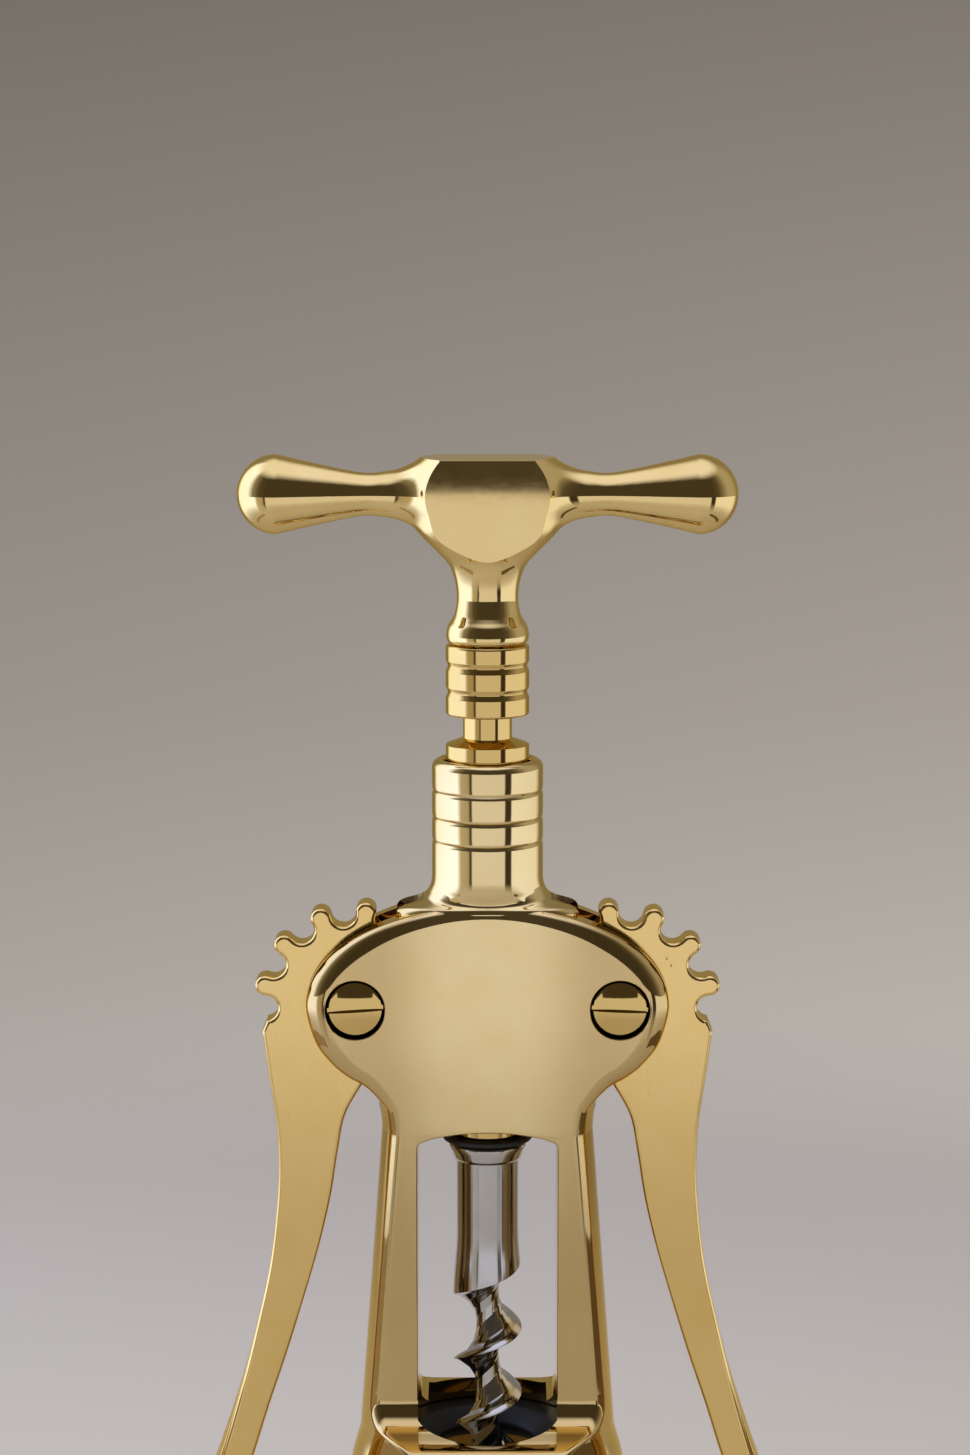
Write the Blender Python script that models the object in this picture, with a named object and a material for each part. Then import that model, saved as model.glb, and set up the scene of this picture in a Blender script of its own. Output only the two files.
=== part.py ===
"""Wing corkscrew: a cast frame, two geared levers, a ring rack, a T handle and a worm.

Metres, +Z up. The origin is on the middle axis, in the plane of the bell's rim. The front faces -Y.
"""
import math

import bmesh
import bpy
from mathutils import Vector

# Fits between pieces
FIT = 0.0003            # gap between pieces that touch
SLIDE = 0.00025         # gap round the sliding rack
OVERRUN = 0.004         # how far a cutter runs past what it cuts
FLAT_LEAST = 0.00001    # least flat left on a level section that is all but round
FACET_SAG = 0.00006     # how far the bell's front facet lies inside its full round

# Bell, at the foot of the frame
BELL_R = 0.0205
BELL_BORE_R = 0.0165
BELL_RIM_ROUND = 0.0010
SHOULDER_Z = 0.0180     # where the bell's sides start to draw in
SHELF_Z = 0.0255        # the ledge in front of the legs, and the window's sill
FRONT_FOOT_Z = 0.0125   # where the bell's front starts to lean back to the ledge
FRONT_SHARES = ((0, 0.006), (0.192, 0.056), (0.385, 0.145), (0.577, 0.267), (0.769, 0.433),
                (0.900, 0.589), (0.954, 0.700), (0.985, 0.877))
FRONT_ROUND = 0.0010    # rounding of the edge between front and sides
RECESS_R = 0.0144       # seat of the bottle guide
RECESS_FLOOR_Z = 0.0187

# Legs
LEG_FOOT_R = 0.0190
LEG_WAIST_R = 0.0157    # where the legs are slimmest
LEG_WAIST_Z = 0.0700
LEG_TOP_R = 0.0176      # where they have spread into the head
LEG_TOP_Z = 0.0780
LEG_FOOT_FILLET = 0.0038
LEG_ROUND = 0.0020      # rounding of the legs' front and back edges
LEG_SHARES = (0.35, 0.70, 1)
LEG_SPREAD_SHARES = ((0.375, 0.14), (0.738, 0.55), (1, 1))

# Window between the legs
WINDOW_HALF_W = 0.01035
WINDOW_SIDE_TOP_Z = 0.0692
WINDOW_CROWN = 0.0014
WINDOW_FOOT_ROUND = 0.0026
WINDOW_TOP_ROUND = 0.0009

# Head
HEAD_HALF_T = 0.0077
HEAD_EAR = 0.00733      # from a pivot's axis to the head's side
HEAD_RISE = 0.0153
HEAD_ROLL_W = 0.0044    # the head's edge rolls over from its flat faces: most width inwards
HEAD_ROLL_D = 0.0026    # and most depth
HEAD_ROLL_SHARES = ((0, 0.23, 0.35), (0.19, 0.30, 0.38), (0.34, 0.59, 0.69), (0.49, 0.73, 0.96),
                    (0.58, 0.73, 1), (0.74, 0.91, 1), (0.89, 1, 0.92), (1, 0.57, 0.77))
HEAD_WAIST_W = 0.0127   # half width where the head runs into the legs
HEAD_WAIST_Z = 0.0685
HEAD_SIDE_SHARES = ((0.254, 0.901), (0.414, 0.723), (0.506, 0.553), (0.574, 0.376), (0.676, 0.220),
                    (0.787, 0.099), (0.879, 0.035))
SLOT_END_X = 0.0095
SLOT_FLOOR_Z = 0.0735

# Guide tube above the head
TUBE_R = 0.0082
TUBE_TOP_Z = 0.1255
TUBE_ROUND = 0.0013
TUBE_GROOVES_Z = (0.1208, 0.1168, 0.1133)
TUBE_GROOVE_W = 0.0007
TUBE_GROOVE_D = 0.0003
ROOT_TOP_Z = 0.1085     # where the tube starts to spread into the head
ROOT_FOOT_Z = 0.1030
ROOT_FOOT_HALF_W = 0.0135
ROOT_FOOT_HALF_D = 0.0070
ROOT_SHARES = (0, 0.3, 0.55, 0.75, 0.9, 1)

# Pivots and their screws
PIVOT_Z = 0.08915
SHANK_R = 0.0029
THREAD_R = 0.0024
SCREW_HEAD_R = 0.00412
SCREW_HEAD_EDGE = 0.0010
SCREW_HEAD_DOME = 0.0005
SCREW_DOME_SHARES = ((0, 1), (0.45, 0.8), (0.8, 0.36), (1, 0))
COUNTERBORE_D = 0.0022
SCREW_SLOT_W = 0.0010
SCREW_SLOT_D = 0.0011
LEFT_SLOT_TILT = math.radians(-3.5)
RIGHT_SLOT_TILT = math.radians(2.0)
SCREW_END_INSET = 0.0003

# Gear teeth
TOOTH_STEP = math.radians(28.6)
TOOTH_PHASE = math.radians(6.5)     # first tooth seen beside the tube, from straight up
TEETH_INWARD = 4        # teeth between that one and the last that meets the rack
TEETH_OUTWARD = 3
PITCH_R = 0.01376
TIP_R = 0.01515
GEAR_ROOT_R = 0.01155
TIP_ROUND = 0.00150
POCKET_PLAY = 0.0006   # round the gear's tips
POCKET_DEEPER = 0.0003  # pocket beyond the slot, into each cheek

# Levers
LEVER_HALF_T = 0.0025
LEVER_EDGE = 0.0004
LEVER_REACH_X = 0.0460  # end of the lever from the middle axis
LEVER_END_Z = 0.0032
LEVER_OUTER_SHARES = ((0.523, 0.051), (0.492, 0.122), (0.451, 0.210), (0.439, 0.282), (0.449, 0.354),
                      (0.485, 0.452), (0.543, 0.541), (0.629, 0.645), (0.731, 0.745), (0.860, 0.858),
                      (0.985, 0.960), (0.995, 0.992))
LEVER_INNER_SHARES = ((-0.027, 0.147), (0.064, 0.199), (0.105, 0.262), (0.147, 0.343), (0.214, 0.432),
                      (0.297, 0.521), (0.399, 0.624), (0.501, 0.718), (0.591, 0.807), (0.700, 0.898),
                      (0.820, 0.985), (0.895, 1.010))
PAD_HALF_W = 0.0062     # half width of the thumb end
PAD_START_SHARE = 0.55  # how far down the lever the thumb end starts to widen
PAD_ROUND = 0.0014      # how far the thumb end's outer side rounds off

# Ring rack
RACK_R = 0.00615
RACK_TIP = 0.00044      # the rings reach this far past the rack's pitch line
RACK_ROOT_R = 0.0036
RACK_BORE_R = 0.0023
RACK_TOP_Z = 0.1424
RING_TOP_Z = 0.12650    # middle of the top ring
RING_LAND = 0.0023
RING_COUNT = 8
FLANK = math.radians(20)
BARREL_FOOT_Z = 0.1320  # foot of the grooved barrel above the rings
BARREL_ROUND = 0.0004
BARREL_GROOVES_Z = (0.1393, 0.1354)
BARREL_GROOVE_W = 0.0007
BARREL_GROOVE_D = 0.0003
RACK_END_R = 0.00475
RACK_END_H = 0.0060855  # plain end below the lowest ring

# Bumper washer
BUMPER_R = 0.0067
BUMPER_FLOOR = 0.0006
BUMPER_ROUND = 0.0005

# Spindle
SPINDLE_R = 0.0020
SPINDLE_IN_HANDLE = 0.0080
SPINDLE_IN_WORM = 0.0060

# T handle
HUB_H = 0.0271          # from the handle's foot to its flat top
HUB_HALF_D = 0.0062     # from the axis to the flat front and back
NECK_R = 0.0045
BODY_R = 0.0096
BODY_SHARES = ((0, 0.245), (0.018, 0.294), (0.044, 0.310), (0.089, 0.265), (0.125, 0.147), (0.162, 0.059),
               (0.240, 0), (0.336, 0.059), (0.432, 0.255), (0.509, 0.569), (0.572, 0.922), (0.620, 1),
               (0.694, 0.880), (0.800, 0.490))
HUB_CUT_SHARE = 0.24    # the flats are cut from the neck upwards
ARM_DROP = 0.0054       # arms' axis below the hub's top
ARM_ROOT_R = 0.0094
ARM_FLARE_SHARES = ((0.216, 0.968), (0.346, 0.839), (0.427, 0.661), (0.492, 0.476), (0.568, 0.274),
                    (0.686, 0.105), (0.811, 0.024))
ARM_SWELL_SHARES = (0.6, 0.55)
ARM_END_X = 0.0366
BULB_R = 0.00585
BULB_X = 0.0308
WAIST_R = 0.0032
WAIST_X = 0.0185

# Worm
FLANGE_R = 0.0057
FLANGE_FOOT_R = 0.0050
FLANGE_H = 0.0025
FLANGE_ROUND = 0.0004
SHANK_TOP_R = 0.0046
SHANK_FOOT_R = 0.00515
CORE_R = 0.00165
BLADE_PITCH = 0.01005
BLADE_EDGE_Z = 0.0340   # height of the first blade edge on the left side
BLADE_SHARES = ((0, 1), (0.025, 0.94), (0.07, 0.78), (0.13, 0.42), (0.26, 0.16), (0.42, 0.04),
                (0.60, 0), (0.76, 0.08), (0.88, 0.32), (0.97, 0.72), (1, 1))
BLADE_TIP_Z = 0.0080
BLADE_TAPER = 0.0090
POINT_R = 0.0004
RUNOUT_SHARES = (0.55, 0.92)    # the groove fades out into the shank over this part of a turn
BLADE_STEPS = 11        # level sections in one turn
BLADE_COLUMNS = 18

# Bottle guide
GUIDE_TOP_Z = 0.0236
GUIDE_HOLE_R = 0.0070
GUIDE_MOUTH_R = 0.0100
GUIDE_EDGE = 0.0006

# Roundness
TURN_STEPS = 36
SMALL_STEPS = 24
SPINDLE_STEPS = 16
ARM_STEPS = 20
CORNER_STEPS = 3
FILLET_STEPS = 4
SIDE_STEPS = 8
TIP_STEPS = 6
VALLEY_STEPS = 4
LEVER_LEVEL_SHARE = 0.86

HANDLE_Z = RACK_TOP_Z + FIT
HUB_TOP_Z = HANDLE_Z + HUB_H
ARM_Z = HUB_TOP_Z - ARM_DROP
SLOT_HALF_W = LEVER_HALF_T + FIT
POCKET_HALF_W = SLOT_HALF_W + POCKET_DEEPER
BORE_R = RACK_R + SLIDE
RING_PITCH = PITCH_R * TOOTH_STEP
RACK_FOOT_Z = RING_TOP_Z - (RING_COUNT - 0.5) * RING_PITCH
RACK_END_Z = RACK_FOOT_Z - RACK_END_H
BUMPER_Z = RACK_END_Z - FIT - BUMPER_FLOOR
FLANGE_Z = BUMPER_Z - FIT
FLANGE_FOOT_Z = FLANGE_Z - FLANGE_H
PIVOT_X = PITCH_R + RACK_R - RACK_TIP
HEAD_HALF_W = PIVOT_X + HEAD_EAR


def clear_scene():
    for item in list(bpy.data.objects):
        bpy.data.objects.remove(item, do_unlink=True)


def finish(name, colour, metallic, roughness):
    """A material with the look of the real piece."""
    material = bpy.data.materials.new(name)
    material.use_nodes = True
    shader = material.node_tree.nodes["Principled BSDF"]
    shader.inputs["Base Color"].default_value = (*colour, 1)
    shader.inputs["Metallic"].default_value = metallic
    shader.inputs["Roughness"].default_value = roughness
    return material


def solid(name, mesh_builder, material=None):
    """An object from a filled bmesh. One without a material is a cutter or a guide."""
    bmesh.ops.recalc_face_normals(mesh_builder, faces=mesh_builder.faces)
    mesh = bpy.data.meshes.new(name)
    mesh_builder.to_mesh(mesh)
    mesh_builder.free()
    item = bpy.data.objects.new(name, mesh)
    bpy.context.collection.objects.link(item)
    if material:
        mesh.materials.append(material)
        mesh.shade_smooth()
        mesh.set_sharp_from_angle(angle=math.radians(35))
    else:
        item.hide_render = True
        item.display_type = "WIRE"
    return item


def join_on(item, other, operation):
    """Add another object to this one, or cut it out."""
    step = item.modifiers.new(other.name, "BOOLEAN")
    step.operation = operation
    step.object = other
    step.solver = "EXACT"


def lofted(sections):
    """A closed bmesh through sections of equal count, capped at both ends."""
    work = bmesh.new()
    rings = [[work.verts.new(point) for point in section] for section in sections]
    for low, high in zip(rings, rings[1:]):
        for here in range(len(low)):
            there = (here + 1) % len(low)
            work.faces.new((low[here], low[there], high[there], high[here]))
    work.faces.new(rings[0][::-1])
    work.faces.new(rings[-1])
    return work


def turned(profile, steps=TURN_STEPS, hollow=False):
    """A bmesh of revolution about Z. A hollow profile is a closed loop clear of the axis."""
    work = bmesh.new()
    points = [work.verts.new((radius, 0, height)) for radius, height in profile]
    edges = [work.edges.new(pair) for pair in zip(points, points[1:])]
    if hollow:
        edges.append(work.edges.new((points[-1], points[0])))
    bmesh.ops.spin(work, geom=points + edges, axis=(0, 0, 1), cent=(0, 0, 0),
                   angle=math.tau, steps=steps, use_merge=True)
    bmesh.ops.remove_doubles(work, verts=work.verts, dist=FLAT_LEAST / 10)
    return work


def cylinder(name, radius, start, end, steps=TURN_STEPS):
    """A round cutter between two heights on the Z axis."""
    return solid(name, turned(((0, start), (radius, start), (radius, end), (0, end)), steps))


def lie_along_y(item, x, z, tilt=0):
    """Turn a piece made along Z so that its low end faces the front, at a pivot."""
    item.rotation_euler = (-math.pi / 2, tilt, 0)
    item.location = (x, 0, z)


def arc(centre, radius, start, end, steps, radius_2=None):
    """Points of a round or an ellipse between two angles in degrees, both ends included."""
    other = radius if radius_2 is None else radius_2
    angles = [math.radians(start + (end - start) * k / steps) for k in range(steps + 1)]
    return [(centre[0] + radius * math.cos(a), centre[1] + other * math.sin(a)) for a in angles]


def smooth_through(points, steps):
    """Points on a smooth curve through the given ones."""
    curve = []
    for k in range(len(points) - 1):
        before = Vector(points[max(k - 1, 0)])
        here = Vector(points[k])
        there = Vector(points[k + 1])
        after = Vector(points[min(k + 2, len(points) - 1)])
        for step in range(steps):
            t = step / steps
            curve.append(0.5 * (2 * here + (there - before) * t
                                + (2 * before - 5 * here + 4 * there - after) * t * t
                                + (3 * here - 3 * there + after - before) * t ** 3))
    curve.append(Vector(points[-1]))
    return curve


def mix(low, high, share):
    return low + (high - low) * share


def smooth_mix(low, high, share):
    share = min(max(share, 0), 1)
    return mix(low, high, share * share * (3 - 2 * share))


def interpolate(table, at):
    """Value at a place in a table of (place, value) rows, in rising order."""
    for (low, low_value), (high, high_value) in zip(table, table[1:]):
        if at <= high:
            return mix(low_value, high_value, max(at - low, 0) / (high - low))
    return table[-1][1]


# Frame


def flat_sided_section(z, radius, half_depth, corner):
    """A round level section cut flat at front and back, with the four corners rounded."""
    half_depth = min(half_depth, radius - FACET_SAG)
    centre_y = half_depth - corner
    centre_x = math.sqrt((radius - corner) ** 2 - centre_y ** 2)
    turn = math.degrees(math.atan2(centre_y, centre_x))
    quarter = arc((0, 0), radius, 0, turn, SIDE_STEPS)
    quarter += arc((centre_x, centre_y), corner, turn, 90, CORNER_STEPS)[1:]
    left = [(-x, y) for x, y in reversed(quarter)]
    back = quarter + left
    front = [(-x, -y) for x, y in back[1:-1]]
    return [(x, y, z) for x, y in back + front]


def side_radius(z):
    """Radius of the round sides: the bell's, then the legs', which draw in towards the head."""
    if z < SHELF_Z:
        return smooth_mix(BELL_R, LEG_FOOT_R, (z - SHOULDER_Z) / (SHELF_Z - SHOULDER_Z))
    return mix(LEG_FOOT_R, LEG_WAIST_R, (z - SHELF_Z) / (LEG_WAIST_Z - SHELF_Z))


def bell_and_leg_levels():
    """Height, radius, half depth and corner of each level section, from the rim to the legs' top."""
    rim = arc((BELL_R - BELL_RIM_ROUND, BELL_RIM_ROUND), BELL_RIM_ROUND, -90, 0, CORNER_STEPS)
    rows = [(z, radius, radius, FRONT_ROUND) for radius, z in rim]
    fillet_y = HEAD_HALF_T + LEG_FOOT_FILLET
    fillet_z = SHELF_Z + LEG_FOOT_FILLET
    for up, back in FRONT_SHARES:
        z = mix(FRONT_FOOT_Z, SHELF_Z, up)
        rows.append((z, side_radius(z), mix(BELL_R, fillet_y, back), FRONT_ROUND))
    for depth, z in arc((fillet_y, fillet_z), LEG_FOOT_FILLET, 270, 180, FILLET_STEPS):
        corner = mix(FRONT_ROUND, LEG_ROUND, (z - SHELF_Z) / LEG_FOOT_FILLET)
        rows.append((z, side_radius(z), depth, corner))
    for share in LEG_SHARES:
        z = mix(fillet_z, LEG_WAIST_Z, share)
        rows.append((z, side_radius(z), HEAD_HALF_T, LEG_ROUND))
    for up, out in LEG_SPREAD_SHARES:
        z = mix(LEG_WAIST_Z, LEG_TOP_Z, up)
        rows.append((z, mix(LEG_WAIST_R, LEG_TOP_R, out), HEAD_HALF_T, LEG_ROUND))
    return rows


def head_outline():
    """Right half of the head from its foot to the crown, seen from the front."""
    drop = PIVOT_Z - HEAD_WAIST_Z
    side = [(HEAD_WAIST_W, HEAD_WAIST_Z)]
    for down, out in reversed(HEAD_SIDE_SHARES):
        side.append((mix(HEAD_WAIST_W, HEAD_HALF_W, out), PIVOT_Z - drop * down))
    side.append((HEAD_HALF_W, PIVOT_Z))
    upper = arc((0, PIVOT_Z), HEAD_HALF_W, 0, 90, 14, HEAD_RISE)
    return [tuple(point) for point in smooth_through(side, 2)] + upper[1:]


def inset(points, distances):
    """The open outline moved inwards, to its left, along its normals, by each point's distance."""
    moved = []
    for k, (point, distance) in enumerate(zip(points, distances)):
        before = Vector(points[max(k - 1, 0)])
        after = Vector(points[min(k + 1, len(points) - 1)])
        along = (after - before).normalized()
        moved.append((point[0] - along.y * distance, point[1] + along.x * distance))
    return moved


def head_roll(z):
    """How far the head's edge rolls over at a height: its width inwards and its depth."""
    up = (z - HEAD_WAIST_Z) / (PIVOT_Z + HEAD_RISE - HEAD_WAIST_Z)
    width = interpolate([(place, wide) for place, wide, _ in HEAD_ROLL_SHARES], up)
    depth = interpolate([(place, deep) for place, _, deep in HEAD_ROLL_SHARES], up)
    return HEAD_ROLL_W * width, HEAD_ROLL_D * depth


def head_plate():
    """The oval head, rolled over to its flat front and back."""
    outline = head_outline()
    rolls = [head_roll(z) for _, z in outline]
    rounding = arc((0, 0), 1, 90, 0, 5)
    sections = []
    for side, (out, up) in [(1, step) for step in rounding] + [(-1, step) for step in reversed(rounding)]:
        right = inset(outline, [wide * (1 - out) for wide, _ in rolls])
        right[-1] = (0, right[-1][1])
        right[0] = (right[0][0], HEAD_WAIST_Z)
        half = [(x, side * (HEAD_HALF_T - deep * (1 - up)), z) for (x, z), (_, deep) in zip(right, rolls)]
        sections.append(half + [(-x, y, z) for x, y, z in reversed(half[:-1])])
    return lofted(sections)


def tube_body():
    """The tube from its rounded rim down to where it spreads into the head."""
    rim = arc((TUBE_R - TUBE_ROUND, TUBE_TOP_Z - TUBE_ROUND), TUBE_ROUND, 90, 0, CORNER_STEPS)
    rows = [(radius, z, radius) for radius, z in rim]
    for z in TUBE_GROOVES_Z:
        for radius, level in groove(TUBE_R, z, TUBE_GROOVE_W, TUBE_GROOVE_D):
            rows.append((radius, level, radius))
    sections = []
    for half_w, z, depth in rows + root_levels():
        sections.append([(x, y, z) for x, y in arc((0, 0), half_w, 0, 360, TURN_STEPS, depth)[:-1]])
    return lofted(sections)


def groove(radius, z, half_w, depth):
    """The three profile points of a fine groove, from its upper edge down."""
    return [(radius, z + half_w), (radius - depth, z), (radius, z - half_w)]


def root_levels():
    """The tube's root: it spreads sideways and draws in to the thickness of the head."""
    rows = []
    for share in ROOT_SHARES:
        z = mix(ROOT_TOP_Z, ROOT_FOOT_Z, share)
        half_w = mix(TUBE_R, ROOT_FOOT_HALF_W, 1 - math.sqrt(1 - share * share))
        rows.append((half_w, z, smooth_mix(TUBE_R, ROOT_FOOT_HALF_D, share)))
    rows.append((ROOT_FOOT_HALF_W, ROOT_FOOT_Z - OVERRUN, ROOT_FOOT_HALF_D))
    return rows


def window_cutter():
    """The window's outline, arched at the top, pushed through from front to back."""
    side = WINDOW_HALF_W
    foot = arc((side - WINDOW_FOOT_ROUND, SHELF_Z + WINDOW_FOOT_ROUND), WINDOW_FOOT_ROUND, -90, 0, 5)
    top = arc((side - WINDOW_TOP_ROUND, WINDOW_SIDE_TOP_Z - WINDOW_TOP_ROUND), WINDOW_TOP_ROUND, 0, 75, 3)
    crown = [(side * share, WINDOW_SIDE_TOP_Z + WINDOW_CROWN * (1 - share * share))
             for share in (0.75, 0.5, 0.25)]
    right = foot + top + crown
    outline = right + [(0, WINDOW_SIDE_TOP_Z + WINDOW_CROWN)] + [(-x, z) for x, z in reversed(right)]
    reach = BELL_R + OVERRUN
    return solid("window_cutter", lofted([[(x, y, z) for x, z in outline] for y in (-reach, reach)]))


def slot_cutter(side):
    """The slot that a lever swings in: flat cheeks, and a round end beside the tube."""
    end = arc((SLOT_END_X + SLOT_HALF_W, 0), SLOT_HALF_W, 90, 270, 6)
    far = HEAD_HALF_W + OVERRUN
    outline = end + [(far, -SLOT_HALF_W), (far, SLOT_HALF_W)]
    top = PIVOT_Z + HEAD_RISE + OVERRUN
    sections = [[(side * x, y, z) for x, y in outline] for z in (SLOT_FLOOR_Z, top)]
    return solid("slot_cutter", lofted(sections))


def core_cutter():
    """One stepped bore on the middle axis: the bell's mouth, the guide's seat and the rack's way."""
    profile = [(0, -OVERRUN), (BELL_BORE_R, -OVERRUN), (BELL_BORE_R, RECESS_FLOOR_Z),
               (RECESS_R, RECESS_FLOOR_Z), (RECESS_R, SHELF_Z), (BORE_R, SHELF_Z),
               (BORE_R, TUBE_TOP_Z + OVERRUN), (0, TUBE_TOP_Z + OVERRUN)]
    return solid("core_cutter", turned(profile))


def pivot_cutter(side):
    """One stepped bore on a lever's axis: screw head, shank, the gear's pocket, and the thread."""
    reach = HEAD_HALF_T + OVERRUN
    sunk = COUNTERBORE_D - HEAD_HALF_T
    gear_room = TIP_R + POCKET_PLAY
    profile = [(0, -reach), (SCREW_HEAD_R + FIT, -reach), (SCREW_HEAD_R + FIT, sunk), (SHANK_R + FIT, sunk),
               (SHANK_R + FIT, -POCKET_HALF_W), (gear_room, -POCKET_HALF_W), (gear_room, POCKET_HALF_W),
               (THREAD_R + FIT, POCKET_HALF_W), (THREAD_R + FIT, reach), (0, reach)]
    cutter = solid("pivot_cutter", turned(profile, SMALL_STEPS))
    lie_along_y(cutter, side * PIVOT_X, PIVOT_Z)
    return cutter


def frame_cutters():
    """Everything that is cut out of the casting."""
    cutters = [window_cutter(), core_cutter()]
    for side in (-1, 1):
        cutters += [slot_cutter(side), pivot_cutter(side)]
    return cutters


def make_frame(brass):
    sections = [flat_sided_section(*row) for row in bell_and_leg_levels()]
    frame = solid("frame_body", lofted(sections), brass)
    join_on(frame, solid("head_guide", head_plate()), "UNION")
    join_on(frame, solid("tube_guide", tube_body()), "UNION")
    for cutter in frame_cutters():
        join_on(frame, cutter, "DIFFERENCE")


# Levers


def tooth_points():
    """A lever's gear outline from the rack side to its outer corner, for the left lever."""
    tip_at = TIP_R - TIP_ROUND
    lean = math.cos(TOOTH_STEP / 2)
    valley = (TIP_ROUND ** 2 - tip_at ** 2 - GEAR_ROOT_R ** 2 + 2 * tip_at * GEAR_ROOT_R * lean)
    valley /= 2 * (GEAR_ROOT_R - tip_at * lean - TIP_ROUND)
    valley_at = GEAR_ROOT_R + valley
    across = valley_at * math.sin(TOOTH_STEP / 2)
    tip_turn = math.degrees(math.atan2(across, valley_at * lean - tip_at))
    across = tip_at * math.sin(TOOTH_STEP / 2)
    valley_turn = math.degrees(math.atan2(across, tip_at * lean - valley_at))
    points = []
    for k in range(TEETH_INWARD, -TEETH_OUTWARD - 1, -1):
        middle = math.pi / 2 - TOOTH_PHASE - k * TOOTH_STEP
        if k == TEETH_INWARD:
            start = middle - TOOTH_STEP / 2
            points += valley_points(valley_at, valley, start, 180, valley_turn)
        centre = (tip_at * math.cos(middle), tip_at * math.sin(middle))
        turn = math.degrees(middle)
        points += arc(centre, TIP_ROUND, turn - tip_turn, turn + tip_turn, TIP_STEPS)[1:-1]
        points += valley_points(valley_at, valley, middle + TOOTH_STEP / 2, 360 - valley_turn, valley_turn)
    return points


def valley_points(out, radius, angle, start, end):
    """Points of one round valley between two teeth."""
    turn = math.degrees(angle)
    centre = (out * math.cos(angle), out * math.sin(angle))
    steps = VALLEY_STEPS if start > 180 else VALLEY_STEPS // 2
    return arc(centre, radius, turn + start, turn + end, steps)


def lever_edges():
    """Outer and inner edge of the left lever, from the gear down to the thumb end."""
    reach = LEVER_REACH_X - PIVOT_X
    drop = PIVOT_Z - LEVER_END_Z
    edges = []
    for shares in (LEVER_OUTER_SHARES, LEVER_INNER_SHARES):
        points = [(-reach * out, -drop * down) for out, down in shares]
        edges.append([tuple(point) for point in smooth_through(points, 2)])
    return edges


def lever_mesh(side):
    """A flat plate with teeth, whose lower end spreads into a rounded thumb end."""
    outer, inner = lever_edges()
    teeth = tooth_points()
    root_start = math.degrees(math.atan2(inner[0][1], inner[0][0]))
    root_end = 90 - math.degrees(TOOTH_PHASE + (TEETH_INWARD + 0.5) * TOOTH_STEP)
    root = arc((0, 0), GEAR_ROOT_R, root_start, root_end, 3)[1:-1]
    outline = inner[::-1] + root + teeth + outer
    count = len(outline)
    spread = pad_spread(inner)[::-1] + [0] * (len(root) + len(teeth)) + pad_spread(outer)
    outward = [0] * (count - len(outer)) + [1] * len(outer)
    shrunk = inset(outline, [1] * count)
    work = bmesh.new()
    rings = []
    for level in (-1, -LEVER_LEVEL_SHARE, 0, LEVER_LEVEL_SHARE, 1):
        ring = []
        for k, (x, z) in enumerate(outline):
            half = mix(LEVER_HALF_T, PAD_HALF_W, spread[k])
            back = LEVER_EDGE if abs(level) == 1 else 0
            back += PAD_ROUND * spread[k] * outward[k] * level * level
            x += (shrunk[k][0] - x) * back
            z += (shrunk[k][1] - z) * back
            ring.append(work.verts.new((side * x, half * level, z)))
        rings.append(ring)
    for low, high in zip(rings, rings[1:]):
        for here in range(count):
            there = (here + 1) % count
            work.faces.new((low[here], low[there], high[there], high[here]))
    last = len(inner) - 1
    for ring in (rings[0], rings[-1]):
        for k in range(last):
            work.faces.new((ring[k], ring[k + 1], ring[count - 2 - k], ring[count - 1 - k]))
        work.faces.new(ring[last:count - last])
    return work


def pad_spread(edge):
    """How far each point of an edge has widened towards the thumb end, from 0 to 1."""
    last = len(edge) - 1
    return [smooth_mix(0, 1, (k / last - PAD_START_SHARE) / (1 - PAD_START_SHARE)) for k in range(last + 1)]


def make_levers(brass):
    for name, side in (("left_lever", 1), ("right_lever", -1)):
        lever = solid(name, lever_mesh(side), brass)
        lever.location = (-side * PIVOT_X, 0, PIVOT_Z)
        bore = cylinder("lever_bore_cutter", SHANK_R + FIT, -LEVER_HALF_T - OVERRUN,
                        LEVER_HALF_T + OVERRUN, SMALL_STEPS)
        lie_along_y(bore, -side * PIVOT_X, PIVOT_Z)
        join_on(lever, bore, "DIFFERENCE")


# Pivot screws


def make_screws(brass):
    under = COUNTERBORE_D - HEAD_HALF_T - FIT
    edge = under - SCREW_HEAD_EDGE
    crown = edge - SCREW_HEAD_DOME
    shoulder = POCKET_HALF_W - FIT
    end = HEAD_HALF_T - SCREW_END_INSET
    profile = [(SCREW_HEAD_R * out, edge - SCREW_HEAD_DOME * up) for out, up in SCREW_DOME_SHARES]
    profile += [(SCREW_HEAD_R, under), (SHANK_R, under), (SHANK_R, shoulder),
                (THREAD_R, shoulder), (THREAD_R, end), (0, end)]
    for name, side, tilt in (("left_pivot_screw", -1, LEFT_SLOT_TILT),
                             ("right_pivot_screw", 1, RIGHT_SLOT_TILT)):
        screw = solid(name, turned(profile, SMALL_STEPS), brass)
        lie_along_y(screw, side * PIVOT_X, PIVOT_Z)
        slot = solid("screw_slot_cutter", box_mesh(SCREW_HEAD_R + OVERRUN, SCREW_SLOT_W / 2,
                                                   crown - OVERRUN, crown + SCREW_SLOT_D))
        lie_along_y(slot, side * PIVOT_X, PIVOT_Z, tilt)
        join_on(screw, slot, "DIFFERENCE")


def box_mesh(half_x, half_y, low, high):
    corners = ((-half_x, -half_y), (half_x, -half_y), (half_x, half_y), (-half_x, half_y))
    return lofted([[(x, y, z) for x, y in corners] for z in (low, high)])


# Rack, washer and spindle


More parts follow.
